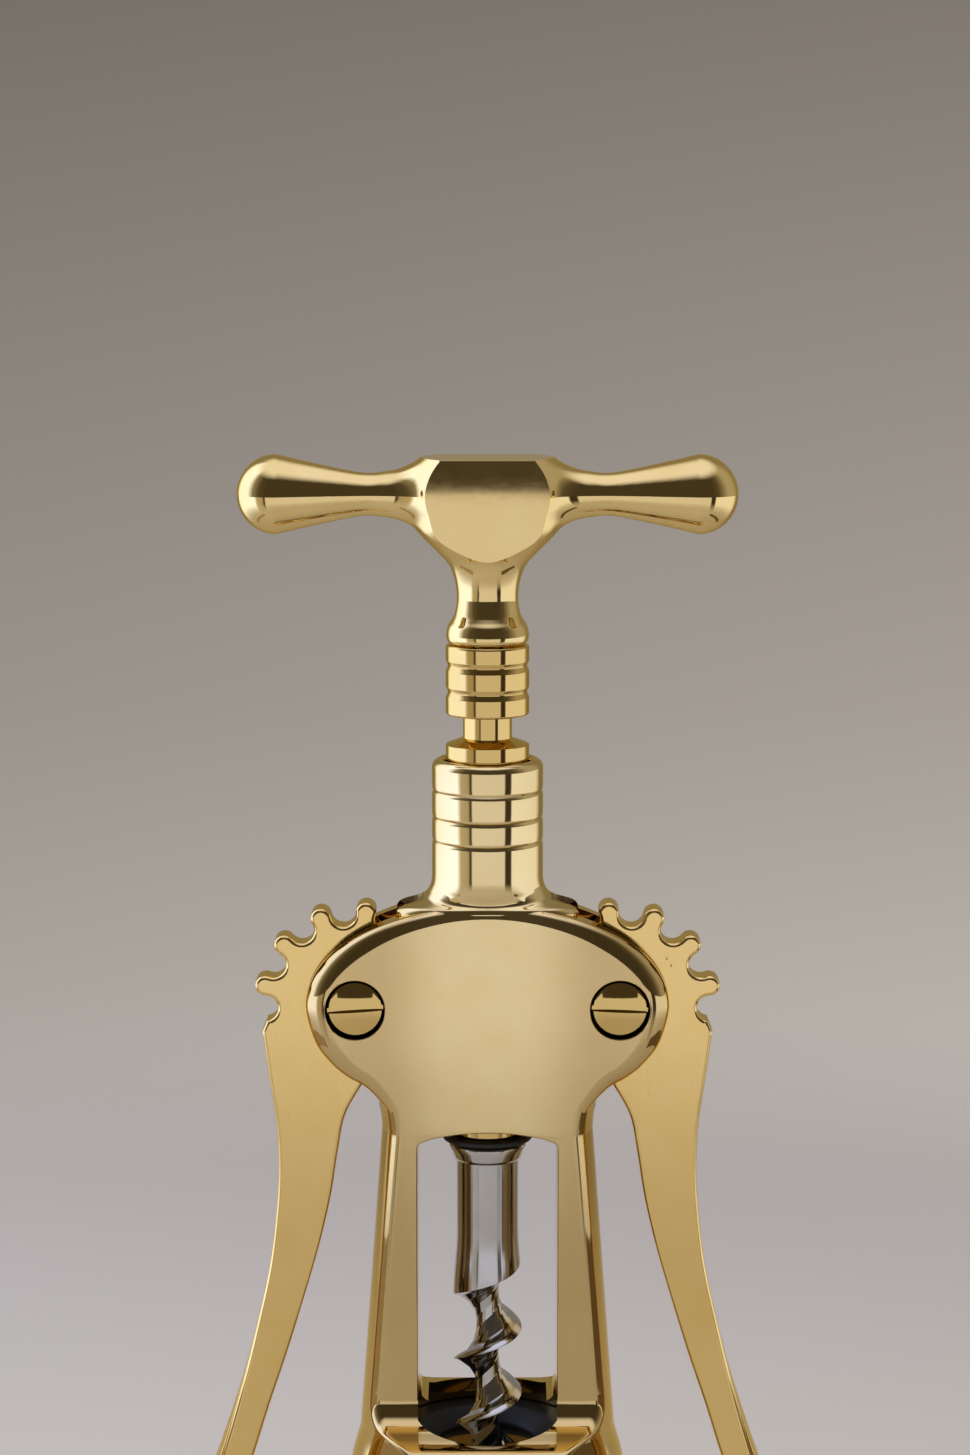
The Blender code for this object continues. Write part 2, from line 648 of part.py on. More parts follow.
def ring_profile():
    """The ring teeth, from the top one down, with slanted flanks."""
    half = RING_LAND / 2
    slant = (RACK_R - RACK_ROOT_R) * math.tan(FLANK)
    points = []
    for k in range(RING_COUNT):
        z = RING_TOP_Z - k * RING_PITCH
        points += [(RACK_ROOT_R, z + half + slant), (RACK_R, z + half), (RACK_R, z - half),
                   (RACK_ROOT_R, z - half - slant)]
    return points


def make_rack(brass):
    top = [(RACK_BORE_R, RACK_TOP_Z), (RACK_R - BARREL_ROUND, RACK_TOP_Z),
           (RACK_R, RACK_TOP_Z - BARREL_ROUND)]
    for z in BARREL_GROOVES_Z:
        top += groove(RACK_R, z, BARREL_GROOVE_W, BARREL_GROOVE_D)
    top += [(RACK_R, BARREL_FOOT_Z + BARREL_ROUND), (RACK_R - BARREL_ROUND, BARREL_FOOT_Z),
            (RACK_ROOT_R, BARREL_FOOT_Z)]
    foot = [(RACK_ROOT_R, RACK_FOOT_Z), (RACK_END_R, RACK_FOOT_Z), (RACK_END_R, RACK_END_Z),
            (RACK_BORE_R, RACK_END_Z)]
    solid("rack_sleeve", turned(top + ring_profile() + foot, SMALL_STEPS, hollow=True), brass)


def make_bumper(rubber):
    cup_r = RACK_END_R + FIT
    floor = RACK_END_Z - FIT
    profile = [(RACK_BORE_R, BUMPER_Z), (BUMPER_R - BUMPER_ROUND, BUMPER_Z),
               (BUMPER_R, BUMPER_Z + BUMPER_ROUND), (BUMPER_R, RACK_END_Z), (cup_r, RACK_END_Z),
               (cup_r, floor), (RACK_BORE_R, floor)]
    solid("bumper_washer", turned(profile, SMALL_STEPS, hollow=True), rubber)


def make_spindle(steel):
    foot = FLANGE_Z - SPINDLE_IN_WORM + FIT
    top = HANDLE_Z + SPINDLE_IN_HANDLE - FIT
    profile = [(0, top), (SPINDLE_R, top), (SPINDLE_R, foot), (0, foot)]
    solid("spindle", turned(profile, SPINDLE_STEPS), steel)


# T handle


def hub_body():
    """The turned foot, neck and hub, before the flats are cut."""
    profile = [(mix(NECK_R, BODY_R, out), mix(HANDLE_Z, HUB_TOP_Z, up)) for up, out in BODY_SHARES]
    return turned([(0, HANDLE_Z), *profile, (0, profile[-1][1])])


def arm_profile():
    """Radius of the arms along their length, from the right end to the left end."""
    root = [(0, ARM_ROOT_R)]
    root += [(WAIST_X * far, mix(WAIST_R, ARM_ROOT_R, thick)) for far, thick in ARM_FLARE_SHARES]
    along, out = ARM_SWELL_SHARES
    swell = (mix(WAIST_X, BULB_X, along), mix(WAIST_R, BULB_R, out))
    outer = smooth_through([(WAIST_X, WAIST_R), swell, (BULB_X, BULB_R)], 3)
    end = arc((BULB_X, 0), ARM_END_X - BULB_X, 90, 0, 6, BULB_R)[1:]
    right = [(r, x) for x, r in root] + [(point[1], point[0]) for point in outer] + [(r, x) for x, r in end]
    right[-1] = (0, ARM_END_X)
    return right[::-1] + [(r, -x) for r, x in right[1:]]


def flats_cutter():
    """Grinds the hub flat at front, back and top: a bridge shape, pushed through from side to side."""
    low = mix(HANDLE_Z, HUB_TOP_Z, HUB_CUT_SHARE)
    far = ARM_ROOT_R + OVERRUN
    high = HUB_TOP_Z + far
    outline = [(-far, low), (-HUB_HALF_D, low), (-HUB_HALF_D, HUB_TOP_Z), (HUB_HALF_D, HUB_TOP_Z),
               (HUB_HALF_D, low), (far, low), (far, high), (-far, high)]
    return solid("flats_cutter", lofted([[(x, y, z) for y, z in outline] for x in (-WAIST_X, WAIST_X)]))


def make_handle(brass):
    handle = solid("t_handle", hub_body(), brass)
    arms = solid("arm_guide", turned(arm_profile(), ARM_STEPS))
    arms.rotation_euler = (0, math.pi / 2, 0)
    arms.location = (0, 0, ARM_Z)
    join_on(handle, arms, "UNION")
    join_on(handle, flats_cutter(), "DIFFERENCE")
    bore = cylinder("handle_bore_cutter", SPINDLE_R + FIT, HANDLE_Z - OVERRUN,
                    HANDLE_Z + SPINDLE_IN_HANDLE, SPINDLE_STEPS)
    join_on(handle, bore, "DIFFERENCE")


# Worm


def worm_section(z):
    """A level section of shank or blade: a groove winds up it and fades out into the shank."""
    taper = min((z - BLADE_TIP_Z) / BLADE_TAPER, 1)
    shank = smooth_mix(SHANK_FOOT_R, SHANK_TOP_R, (z - BLADE_EDGE_Z - BLADE_PITCH) / BLADE_PITCH)
    edge = mix(POINT_R, shank, math.sqrt(taper))
    core = mix(POINT_R, CORE_R, taper)
    section = []
    for k in range(BLADE_COLUMNS):
        share = k / BLADE_COLUMNS
        turns = (z - BLADE_EDGE_Z) / BLADE_PITCH - share
        depth = smooth_mix(1, 0, (turns - RUNOUT_SHARES[0]) / (RUNOUT_SHARES[1] - RUNOUT_SHARES[0]))
        grooved = mix(core, edge, interpolate(BLADE_SHARES, share))
        radius = mix(edge, grooved, depth)
        angle = math.pi + math.tau * turns
        section.append((radius * math.cos(angle), radius * math.sin(angle), z))
    return section


def make_worm(steel):
    top = BLADE_EDGE_Z + 2 * BLADE_PITCH
    count = round(BLADE_STEPS * (top - BLADE_TIP_Z) / BLADE_PITCH)
    heights = [mix(BLADE_TIP_Z, top, k / count) for k in range(count + 1)]
    sections = [worm_section(z) for z in heights]
    last = sections[-1]
    for radius, z in ((SHANK_TOP_R, FLANGE_FOOT_Z), (FLANGE_FOOT_R, FLANGE_FOOT_Z),
                      (FLANGE_R, FLANGE_Z - FLANGE_ROUND), (FLANGE_R - FLANGE_ROUND, FLANGE_Z)):
        scale = radius / SHANK_TOP_R
        sections.append([(x * scale, y * scale, z) for x, y, _ in last])
    worm = solid("worm", lofted(sections[::-1]), steel)
    bore = cylinder("worm_bore_cutter", SPINDLE_R + FIT, FLANGE_Z - SPINDLE_IN_WORM, FLANGE_Z + OVERRUN,
                    SPINDLE_STEPS)
    join_on(worm, bore, "DIFFERENCE")


# Bottle guide


def make_guide(nylon):
    outer = RECESS_R - FIT
    low = RECESS_FLOOR_Z + FIT
    middle = mix(low, GUIDE_TOP_Z, 0.5)
    profile = [(GUIDE_MOUTH_R, low), (outer - GUIDE_EDGE, low), (outer, low + GUIDE_EDGE),
               (outer, GUIDE_TOP_Z - GUIDE_EDGE), (outer - GUIDE_EDGE, GUIDE_TOP_Z),
               (GUIDE_MOUTH_R, GUIDE_TOP_Z), (GUIDE_HOLE_R, middle)]
    solid("bottle_guide", turned(profile, TURN_STEPS, hollow=True), nylon)


clear_scene()
cast_brass = finish("cast_brass", (0.72, 0.55, 0.27), 1, 0.16)
lever_brass = finish("lever_brass", (0.76, 0.57, 0.26), 1, 0.2)
turned_brass = finish("turned_brass", (0.74, 0.55, 0.26), 1, 0.14)
plated_steel = finish("plated_steel", (0.62, 0.60, 0.57), 1, 0.12)
plain_steel = finish("plain_steel", (0.55, 0.55, 0.55), 1, 0.3)
black_nylon = finish("black_nylon", (0.012, 0.012, 0.012), 0, 0.35)
black_rubber = finish("black_rubber", (0.015, 0.014, 0.014), 0, 0.6)
make_frame(cast_brass)
make_guide(black_nylon)
make_levers(lever_brass)
make_screws(turned_brass)
make_rack(turned_brass)
make_bumper(black_rubber)
make_spindle(plain_steel)
make_handle(cast_brass)
make_worm(plated_steel)
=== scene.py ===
import math

import bmesh
import bpy
from mathutils import Matrix, Vector


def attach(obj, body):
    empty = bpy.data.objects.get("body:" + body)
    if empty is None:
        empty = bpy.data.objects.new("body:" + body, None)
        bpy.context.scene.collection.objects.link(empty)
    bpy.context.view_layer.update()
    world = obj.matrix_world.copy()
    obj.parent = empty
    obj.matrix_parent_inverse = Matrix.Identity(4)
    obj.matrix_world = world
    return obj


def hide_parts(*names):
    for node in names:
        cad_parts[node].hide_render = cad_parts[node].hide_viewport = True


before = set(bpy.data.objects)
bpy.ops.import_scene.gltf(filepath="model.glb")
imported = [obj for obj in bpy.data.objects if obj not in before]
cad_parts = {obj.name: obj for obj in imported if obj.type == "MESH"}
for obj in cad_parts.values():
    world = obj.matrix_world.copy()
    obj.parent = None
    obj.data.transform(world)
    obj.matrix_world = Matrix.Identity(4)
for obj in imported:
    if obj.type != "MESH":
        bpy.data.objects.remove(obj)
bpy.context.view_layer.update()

scene = bpy.context.scene
scene.view_settings.view_transform = "Standard"


# Camera
# A long lens about 59 cm in front of the corkscrew, tilted a little down at its upper half.

look_down = math.radians(8.4)
lens_away = 0.5944
look_at_x, look_at_z = -0.00037, 0.130
camera = bpy.data.objects.new("camera", bpy.data.cameras.new("camera"))
scene.collection.objects.link(camera)
camera.data.sensor_width = 36
camera.data.lens = 100
camera.location = (look_at_x, -lens_away * math.cos(look_down), look_at_z + lens_away * math.sin(look_down))
camera.rotation_euler = (math.pi / 2 - look_down, 0, 0)
scene.camera = camera


# Studio
# A pale round table top that fades into a warm grey room, and a dome of light that the camera doesn't see.
# The metal mirrors the dome, which is bright left, right, low in front and overhead, and dim in between.


def plug(owner, value, socket):
    """Set a socket to a plain value, or link another node's socket to it."""
    if isinstance(value, bpy.types.NodeSocket):
        owner.node_tree.links.new(value, socket)
    else:
        socket.default_value = value


def wire(owner, kind, numbered=None, **named):
    """Add a node to a material or world, with its options and its inputs by name or by number."""
    node = owner.node_tree.nodes.new(kind)
    for key, value in named.items():
        if key in ("operation", "blend_type", "data_type", "interpolation_type"):
            setattr(node, key, value)
        else:
            plug(owner, value, node.inputs[key.replace("_", " ")])
    for number, value in (numbered or {}).items():
        plug(owner, value, node.inputs[number])
    return node


def work_out(owner, operation, *values):
    return wire(owner, "ShaderNodeMath", dict(enumerate(values)), operation=operation).outputs["Value"]


def work_out_3(owner, operation, *values):
    return wire(owner, "ShaderNodeVectorMath", dict(enumerate(values)), operation=operation).outputs["Vector"]


def length_of(owner, vector):
    return wire(owner, "ShaderNodeVectorMath", {0: vector}, operation="LENGTH").outputs["Value"]


def share_of(owner, value, **ends):
    return wire(owner, "ShaderNodeMapRange", Value=value, **ends).outputs["Result"]


def tones(owner, share, *stops):
    """Colours that run into each other; each stop is a place from 0 to 1 and a colour."""
    ramp = wire(owner, "ShaderNodeValToRGB", Fac=share)
    colours = ramp.color_ramp.elements
    for k, (at, colour) in enumerate(stops):
        stop = colours[0] if k == 0 else colours[-1] if k == len(stops) - 1 else colours.new(at)
        stop.position = at
        stop.color = (*colour, 1)
    return ramp


def new_finish(name):
    """A material, its shader, and the place on the piece that its patterns follow."""
    material = bpy.data.materials.new(name)
    material.use_nodes = True
    where = wire(material, "ShaderNodeTexCoord").outputs["Object"]
    return material, material.node_tree.nodes["Principled BSDF"], where


def skin(material, surface):
    """Make a shader the one that the render shows."""
    plug(material, surface, material.node_tree.nodes["Material Output"].inputs["Surface"])


def card_of_light(name):
    """A material that only glows, the socket for its light, and the place on the piece."""
    material, shader, where = new_finish(name)
    material.node_tree.nodes.remove(shader)
    lit = wire(material, "ShaderNodeEmission")
    skin(material, lit.outputs["Emission"])
    return material, lit.inputs["Color"], where


def set_out(name, mesh, finish, z):
    """Put a piece of the studio at a height."""
    data = bpy.data.meshes.new(name)
    mesh.to_mesh(data)
    mesh.free()
    data.materials.append(finish)
    piece = bpy.data.objects.new(name, data)
    scene.collection.objects.link(piece)
    piece.location = (0, 0, z)
    return piece


room = bpy.data.worlds.new("room")
room.use_nodes = True
scene.world = room
split = wire(room, "ShaderNodeSeparateXYZ", Vector=wire(room, "ShaderNodeTexCoord").outputs["Generated"])
height = share_of(room, split.outputs["Z"], From_Min=-0.34, From_Max=0.06)
walls = tones(room, height, (0, (0.600, 0.565, 0.525)), (0.5, (0.350, 0.315, 0.285)),
              (1, (0.176, 0.154, 0.132)))
sideways = share_of(room, split.outputs["X"], From_Min=-0.12, From_Max=0.12, To_Min=0.93, To_Max=1.08)
background = room.node_tree.nodes["Background"]
plug(room, walls.outputs["Color"], background.inputs["Color"])
plug(room, sideways, background.inputs["Strength"])

table_reach = 0.45
paper, shader, where = new_finish("pale_paper")
shader.inputs["Roughness"].default_value = 0.7
shader.inputs["Specular IOR Level"].default_value = 0.1
across = wire(paper, "ShaderNodeSeparateXYZ", Vector=where)
# Painted light: the table top is painted darker towards the back, and it glows, most at the front and little
# at the back.
far_share = share_of(paper, across.outputs["Y"], From_Min=-0.12, From_Max=0.25)
tone = tones(paper, far_share, (0, (0.69, 0.645, 0.535)), (1, (0.595, 0.525, 0.45)))
plug(paper, tone.outputs["Color"], shader.inputs["Base Color"])
plug(paper, tone.outputs["Color"], shader.inputs["Emission Color"])
plug(paper, share_of(paper, far_share, To_Min=0.32, To_Max=0.04), shader.inputs["Emission Strength"])
fade = share_of(paper, length_of(paper, where), interpolation_type="SMOOTHSTEP", From_Min=table_reach * 0.35,
                From_Max=table_reach * 0.98)
clear = wire(paper, "ShaderNodeBsdfTransparent")
blend = wire(paper, "ShaderNodeMixShader", {0: fade, 1: shader.outputs["BSDF"], 2: clear.outputs["BSDF"]})
skin(paper, blend.outputs["Shader"])
mesh = bmesh.new()
bmesh.ops.create_circle(mesh, cap_ends=True, segments=96, radius=table_reach)
table_top = set_out("table_top", mesh, paper, -0.00005)

# The dome. Each band gives azimuths seen from above (0 is the front, 90 the right) and the light at each. The
# high band takes over from the low one just below the horizon, and the overhead light takes over further up.
# Azimuths and heights are in degrees.
dome_reach, dome_z = 0.95, 0.11
left_light, right_light = (1.52, 1.75, 2.60), (1.12, 1.16, 1.32)
front_light, overhead_light = (0.90, 0.90, 0.97), (1.12, 1.14, 1.36)
room_light, back_light, side_light = (0.30, 0.27, 0.23), (0.32, 0.30, 0.26), (0.52, 0.49, 0.43)
dark_light, left_flag, right_flag = (0.075, 0.063, 0.042), (0.10, 0.08, 0.055), (0.06, 0.045, 0.03)
low_band = ((-180, room_light), (-142, room_light), (-130, left_light), (-66, left_light),
            (-57, (0.62, 0.57, 0.47)), (-40, (0.52, 0.46, 0.36)), (-36.5, left_flag), (-33.5, left_flag),
            (-31, front_light), (35, front_light), (37.5, right_flag), (49, right_flag), (52, right_light),
            (120, right_light), (136, room_light), (180, room_light))
high_band = ((-180, back_light), (-144, back_light), (-130, left_light), (-90, left_light),
             (-72, (0.34, 0.32, 0.27)), (-52, (0.11, 0.095, 0.065)), (-30, dark_light), (40, dark_light),
             (60, (0.12, 0.10, 0.07)), (76, (0.30, 0.27, 0.21)), (92, side_light), (118, side_light),
             (140, back_light), (180, back_light))
high_band_start, high_band_full = -1.78, -1.66
overhead_start, overhead_full = 46, 72
soft_cards, card_light, where = card_of_light("soft_cards")
split = wire(soft_cards, "ShaderNodeSeparateXYZ", Vector=work_out_3(soft_cards, "NORMALIZE", where))
ahead = work_out(soft_cards, "MULTIPLY", split.outputs["Y"], -1)
turn = work_out(soft_cards, "ARCTAN2", split.outputs["X"], ahead)
round_share = share_of(soft_cards, turn, From_Min=-math.pi, From_Max=math.pi)
lights = []
for band in (low_band, high_band):
    stops = [(azimuth / 360 + 0.5, light) for azimuth, light in band]
    lights.append(tones(soft_cards, round_share, *stops).outputs["Color"])
seen, high_light = lights
for above, start, end in ((high_light, high_band_start, high_band_full),
                          ((*overhead_light, 1), overhead_start, overhead_full)):
    rise = share_of(soft_cards, split.outputs["Z"], interpolation_type="SMOOTHSTEP",
                    From_Min=math.sin(math.radians(start)), From_Max=math.sin(math.radians(end)))
    seen = wire(soft_cards, "ShaderNodeMix", {0: rise, 6: seen, 7: above}, data_type="RGBA").outputs[2]
plug(soft_cards, seen, card_light)
mesh = bmesh.new()
bmesh.ops.create_uvsphere(mesh, u_segments=64, v_segments=32, radius=dome_reach)
dome = set_out("light_dome", mesh, soft_cards, dome_z)
dome.data.shade_smooth()
dome.visible_camera = False
dome.visible_shadow = False

# Low dim fences on the table, on both sides of the object, for the steel and the legs to mirror.
fence_r, fence_h, fence_steps = 0.14, 0.030, 16
for name, left, right, light in (("left_black_fence", -112, -56, (0.42, 0.34, 0.24)),
                                 ("right_black_fence", 54, 110, (0.15, 0.11, 0.06))):
    mesh = bmesh.new()
    foot_line, top_line = [], []
    for k in range(fence_steps + 1):
        turn = math.radians(left + (right - left) * k / fence_steps)
        out = Vector((math.sin(turn), -math.cos(turn), 0)) * fence_r
        foot_line.append(mesh.verts.new(out))
        top_line.append(mesh.verts.new(out + Vector((0, 0, fence_h))))
    for k in range(fence_steps):
        mesh.faces.new((foot_line[k], foot_line[k + 1], top_line[k + 1], top_line[k]))
    card, card_light, _ = card_of_light(name)
    plug(card, (*light, 1), card_light)
    sheet = set_out(name, mesh, card, 0.0002)
    sheet.visible_camera = False
    sheet.visible_shadow = False
    sheet.visible_diffuse = False


# Frame casting
# The bell, the two legs and the oval head with its tube are one brass casting, polished bright.
# Its bores, the window and the two lever slots are cut afterwards. The rims of the bores are eased, and so
# are the window's edges above the collar.

bell_r = 0.0205
bell_bore_r = 0.0165
flare_z, shelf_z = 0.018, 0.0255
guide_seat_r, guide_seat_z = 0.0144, 0.0187
guide_top_z = 0.0236
leg_foot_r, leg_waist_r, leg_waist_z = 0.0190, 0.0157, 0.0700
collar_z, leg_z = 0.0125, 0.0307
head_half_t = 0.0077
head_half_w = 0.0268
head_rise = 0.0153
pivot_x, pivot_z = 0.01947, 0.08915
tube_r, tube_top_z = 0.0082, 0.1255
rack_bore_r = 0.0064
ream = 0.0007
past = 0.004
fit = 0.0003


def arc(centre, radius, start, end, steps, radius_2=None):
    other = radius if radius_2 is None else radius_2
    angles = [math.radians(start + (end - start) * k / steps) for k in range(steps + 1)]
    return [(centre[0] + radius * math.cos(a), centre[1] + other * math.sin(a)) for a in angles]


def mix(low, high, share):
    return low + (high - low) * share


def ease(low, high, share):
    share = min(max(share, 0), 1)
    return mix(low, high, share * share * (3 - 2 * share))


def smooth_through(points, steps):
    curve = []
    last = len(points) - 1
    for k in range(last):
        before, here = Vector(points[max(k - 1, 0)]), Vector(points[k])
        there, after = Vector(points[k + 1]), Vector(points[min(k + 2, last)])
        for step in range(steps):
            t = step / steps
            curve.append(tuple(0.5 * (2 * here + (there - before) * t
                                      + (2 * before - 5 * here + 4 * there - after) * t * t
                                      + (3 * here - 3 * there + after - before) * t ** 3)))
    return curve + [tuple(points[-1])]


def loft(sections):
    mesh = bmesh.new()
    rings = [[mesh.verts.new(point) for point in section] for section in sections]
    for low, high in zip(rings, rings[1:]):
        for here in range(len(low)):
            there = (here + 1) % len(low)
            mesh.faces.new((low[here], low[there], high[there], high[here]))
    mesh.faces.new(rings[0][::-1])
    mesh.faces.new(rings[-1])
    return mesh


def lathe(profile, steps=96, hollow=False):
    mesh = bmesh.new()
    points = [mesh.verts.new((radius, 0, z)) for radius, z in profile]
    edges = [mesh.edges.new(pair) for pair in zip(points, points[1:])]
    if hollow:
        edges.append(mesh.edges.new((points[-1], points[0])))
    bmesh.ops.spin(mesh, geom=points + edges, axis=(0, 0, 1), cent=(0, 0, 0), angle=math.tau, steps=steps,
                   use_merge=True)
    bmesh.ops.remove_doubles(mesh, verts=mesh.verts, dist=0.000001)
    return mesh


def piece_from(name, mesh):
    bmesh.ops.recalc_face_normals(mesh, faces=mesh.faces)
    data = bpy.data.meshes.new(name)
    mesh.to_mesh(data)
    mesh.free()
    piece = bpy.data.objects.new(name, data)
    scene.collection.objects.link(piece)
    return piece


def settle(piece):
    """Keep the result of the piece's modifiers as its mesh."""
    bpy.context.view_layer.update()
    seen = piece.evaluated_get(bpy.context.evaluated_depsgraph_get())
    data = bpy.data.meshes.new_from_object(seen)
    piece.modifiers.clear()
    piece.data = data


def carve(piece, tools, operation="DIFFERENCE"):
    """Cut tools out of a piece, or weld them on, and clear them away."""
    for tool in tools:
        step = piece.modifiers.new("cut", "BOOLEAN")
        step.operation = operation
        step.object = tool
        step.solver = "EXACT"
        settle(piece)
        bpy.data.objects.remove(tool, do_unlink=True)


def smooth(piece, sharp=38):
    """Smooth shading in which big flat faces stay flat."""
    piece.data.shade_smooth()
    piece.data.set_sharp_from_angle(angle=math.radians(sharp))
    weigh = piece.modifiers.new("weigh", "WEIGHTED_NORMAL")
    weigh.keep_sharp = True
    weigh.weight = 80
    settle(piece)


def lay_front(piece, x, z, tilt=0):
    """Turn a piece made along Z so that its low end faces the front, on a pivot's axis."""
    piece.rotation_euler = (-math.pi / 2, tilt, 0)
    piece.location = (x, 0, z)
    bpy.context.view_layer.update()
    piece.data.transform(piece.matrix_world)
    piece.rotation_euler = (0, 0, 0)
    piece.location = (0, 0, 0)


def side_r(z):
    if z < shelf_z:
        return ease(bell_r, leg_foot_r, (z - flare_z) / (shelf_z - flare_z))
    return mix(leg_foot_r, leg_waist_r, (z - shelf_z) / (leg_waist_z - shelf_z))


def flat_sided(z, radius, half_depth, corner, back_depth=None):
    """A level ring, round at the sides and flat at front and back."""
    halves = []
    for depth in (back_depth or half_depth, half_depth):
        corner_y = min(depth, radius - 0.00002) - corner
        corner_x = math.sqrt((radius - corner) ** 2 - corner_y ** 2)
        turn = math.degrees(math.atan2(corner_y, corner_x))
        quarter = arc((0, 0), radius, 0, turn, 26) + arc((corner_x, corner_y), corner, turn, 90, 8)[1:]
        halves.append(quarter + [(-x, y) for x, y in reversed(quarter)])
    back, front = halves
    return [(x, y, z) for x, y in back] + [(-x, -y, z) for x, y in front[1:-1]]


# The front, from the bell over a sloping collar up into the legs, as heights and distances from the axis.
# The back has the same slope and stands a little higher.
back_higher = 0.0019
front_curve = smooth_through(
    [(collar_z, 0.02045), (0.0150, 0.0200), (0.0172, 0.0194), (0.0193, 0.0186), (0.0212, 0.0176),
     (0.0228, 0.0164), (0.0239, 0.0152), (0.02455, 0.0142), (0.0251, 0.0130), (0.02555, 0.0118),
     (0.0260, 0.0106), (0.02655, 0.0096), (0.0272, 0.00885), (0.02795, 0.0083), (0.0288, 0.00795),
     (0.0297, 0.00776), (leg_z, head_half_t)], 4)
rings = [flat_sided(z, radius, radius, 0.001) for radius, z in arc((bell_r - 0.001, 0.001), 0.001, -90, 0, 6)]
for z, depth in front_curve[1:]:
    lower = min(z, max(z - back_higher, collar_z + (z - collar_z) * 0.84))
    for (foot, foot_depth), (top, top_depth) in zip(front_curve, front_curve[1:]):
        if lower <= top:
            back = mix(foot_depth, top_depth, (lower - foot) / (top - foot))
            break
    corner = mix(0.0010, 0.0024, ease(0, 1, (z - collar_z) / 0.0120))
    rings.append(flat_sided(z, side_r(z), depth, corner, back))
for k in range(1, 11):
    z = mix(leg_z, leg_waist_z, k / 10)
    back = head_half_t + 0.00024 * max(1 - k / 2, 0)
    rings.append(flat_sided(z, side_r(z), head_half_t, mix(0.0024, 0.0020, min(k / 4, 1)), back))
shoulder = [(leg_waist_z, leg_waist_r), (0.0730, 0.0160), (0.0759, 0.0168), (0.0780, 0.0176)]
for z, radius in smooth_through(shoulder, 5)[1:]:
    rings.append(flat_sided(z, radius, head_half_t, 0.0020))
frame_casting = piece_from("frame_casting", loft(rings))

waist_w, waist_z = 0.0127, 0.0685
side = [(waist_w, waist_z), (0.0132, 0.0710), (0.0141, 0.0729), (0.0158, 0.0752), (0.0180, 0.0773),
        (0.0205, 0.0787), (0.0229, 0.0806), (0.0254, 0.0839), (head_half_w, pivot_z)]
above = (head_half_w * math.sqrt(1 - (0.0042 / head_rise) ** 2), pivot_z + 0.0042)
outline = smooth_through(side + [above], 8)[:-9] + arc((0, pivot_z), head_half_w, 0, 90, 44, head_rise)


def inset(points, amounts):
    moved = []
    last = len(points) - 1
    for k, (point, amount) in enumerate(zip(points, amounts)):
        along = (Vector(points[min(k + 1, last)]) - Vector(points[max(k - 1, 0)])).normalized()
        moved.append((point[0] - along.y * amount, point[1] + along.x * amount))
    return moved


# How far in and how far back the head's edge rolls over, from the waist to the crown.
roll_places = [(waist_z, 0.0011, 0.0009), (0.0752, 0.0018, 0.0014), (0.0806, 0.0029, 0.0023),
               (0.0860, 0.0036, 0.0030), (0.0892, 0.0038, 0.0032), (0.0950, 0.0036, 0.0028),
               (0.1005, 0.0030, 0.0020), (0.1035, 0.0023, 0.0014), (0.10445, 0.0020, 0.0011)]
rolls = []
for _, z in outline:
    for (low, *low_roll), (high, *high_roll) in zip(roll_places, roll_places[1:]):
        if z <= high:
            share = (z - low) / (high - low)
            break
    rolls.append([mix(a, b, min(share, 1)) for a, b in zip(low_roll, high_roll)])
rings = []
quarter = [(math.cos(math.radians(t)), math.sin(math.radians(t)))
           for t in (90, 86, 82, 77, 72, 66, 60, 53, 46, 38, 29, 19, 9, 0)]
for way, turn in [(1, step) for step in quarter] + [(-1, step) for step in reversed(quarter)]:
    right = inset(outline, [wide * (1 - turn[0]) for wide, _ in rolls])
    right[-1] = (0, right[-1][1])
    right[0] = (right[0][0], waist_z)
    half = [(x, way * (head_half_t - deep * (1 - turn[1])), z) for (x, z), (_, deep) in zip(right, rolls)]
    rings.append(half + [(-x, y, z) for x, y, z in reversed(half[:-1])])
head = piece_from("head", loft(rings))

# The tube, as heights, half widths, half depths and squareness.
groove_heights = (0.1208, 0.1168, 0.1133)
rim = 0.0013
rows = [(z, radius, radius, 2) for radius, z in arc((tube_r - rim, tube_top_z - rim), rim, 90, 0, 10)]
z = tube_top_z - rim - 0.0003
while z > 0.1092:
    dip = sum(0.00005 * math.exp(-((z - g) / 0.0008) ** 2) + 0.00018 * math.exp(-((z - g) / 0.00018) ** 2)
              for g in groove_heights)
    rows.append((z, tube_r - dip, tube_r - dip, 2))
    z -= 0.00012
root = [(0.1090, tube_r, tube_r, 2), (0.1080, 0.00821, 0.00818, 2), (0.1072, 0.00829, 0.0081, 2),
        (0.1065, 0.00848, 0.00795, 2), (0.1059, 0.0088, 0.0077, 2), (0.1054, 0.0093, 0.00742, 2.05),
        (0.1050, 0.0099, 0.0072, 2.1), (0.1047, 0.0105, 0.00712, 2.2), (0.10445, 0.0112, 0.00715, 2.3),
        (0.1042, 0.0120, 0.0073, 2.45), (0.1039, 0.0129, 0.0075, 2.6), (0.1034, 0.0137, 0.0076, 2.6),
        (0.1028, 0.0140, 0.00758, 2.6), (0.1018, 0.0140, 0.0073, 2.6), (0.0980, 0.0135, 0.0070, 2.6)]
rows += smooth_through([Vector(level) for level in root], 4)
rings = []
for z, wide, deep, square in rows:
    power = 2 / square
    rings.append([(wide * math.copysign(abs(x) ** power, x), deep * math.copysign(abs(y) ** power, y), z)
                  for x, y in arc((0, 0), 1, 0, 360, 96)[:-1]])
tube = piece_from("tube", loft(rings))
carve(frame_casting, [head, tube], "UNION")

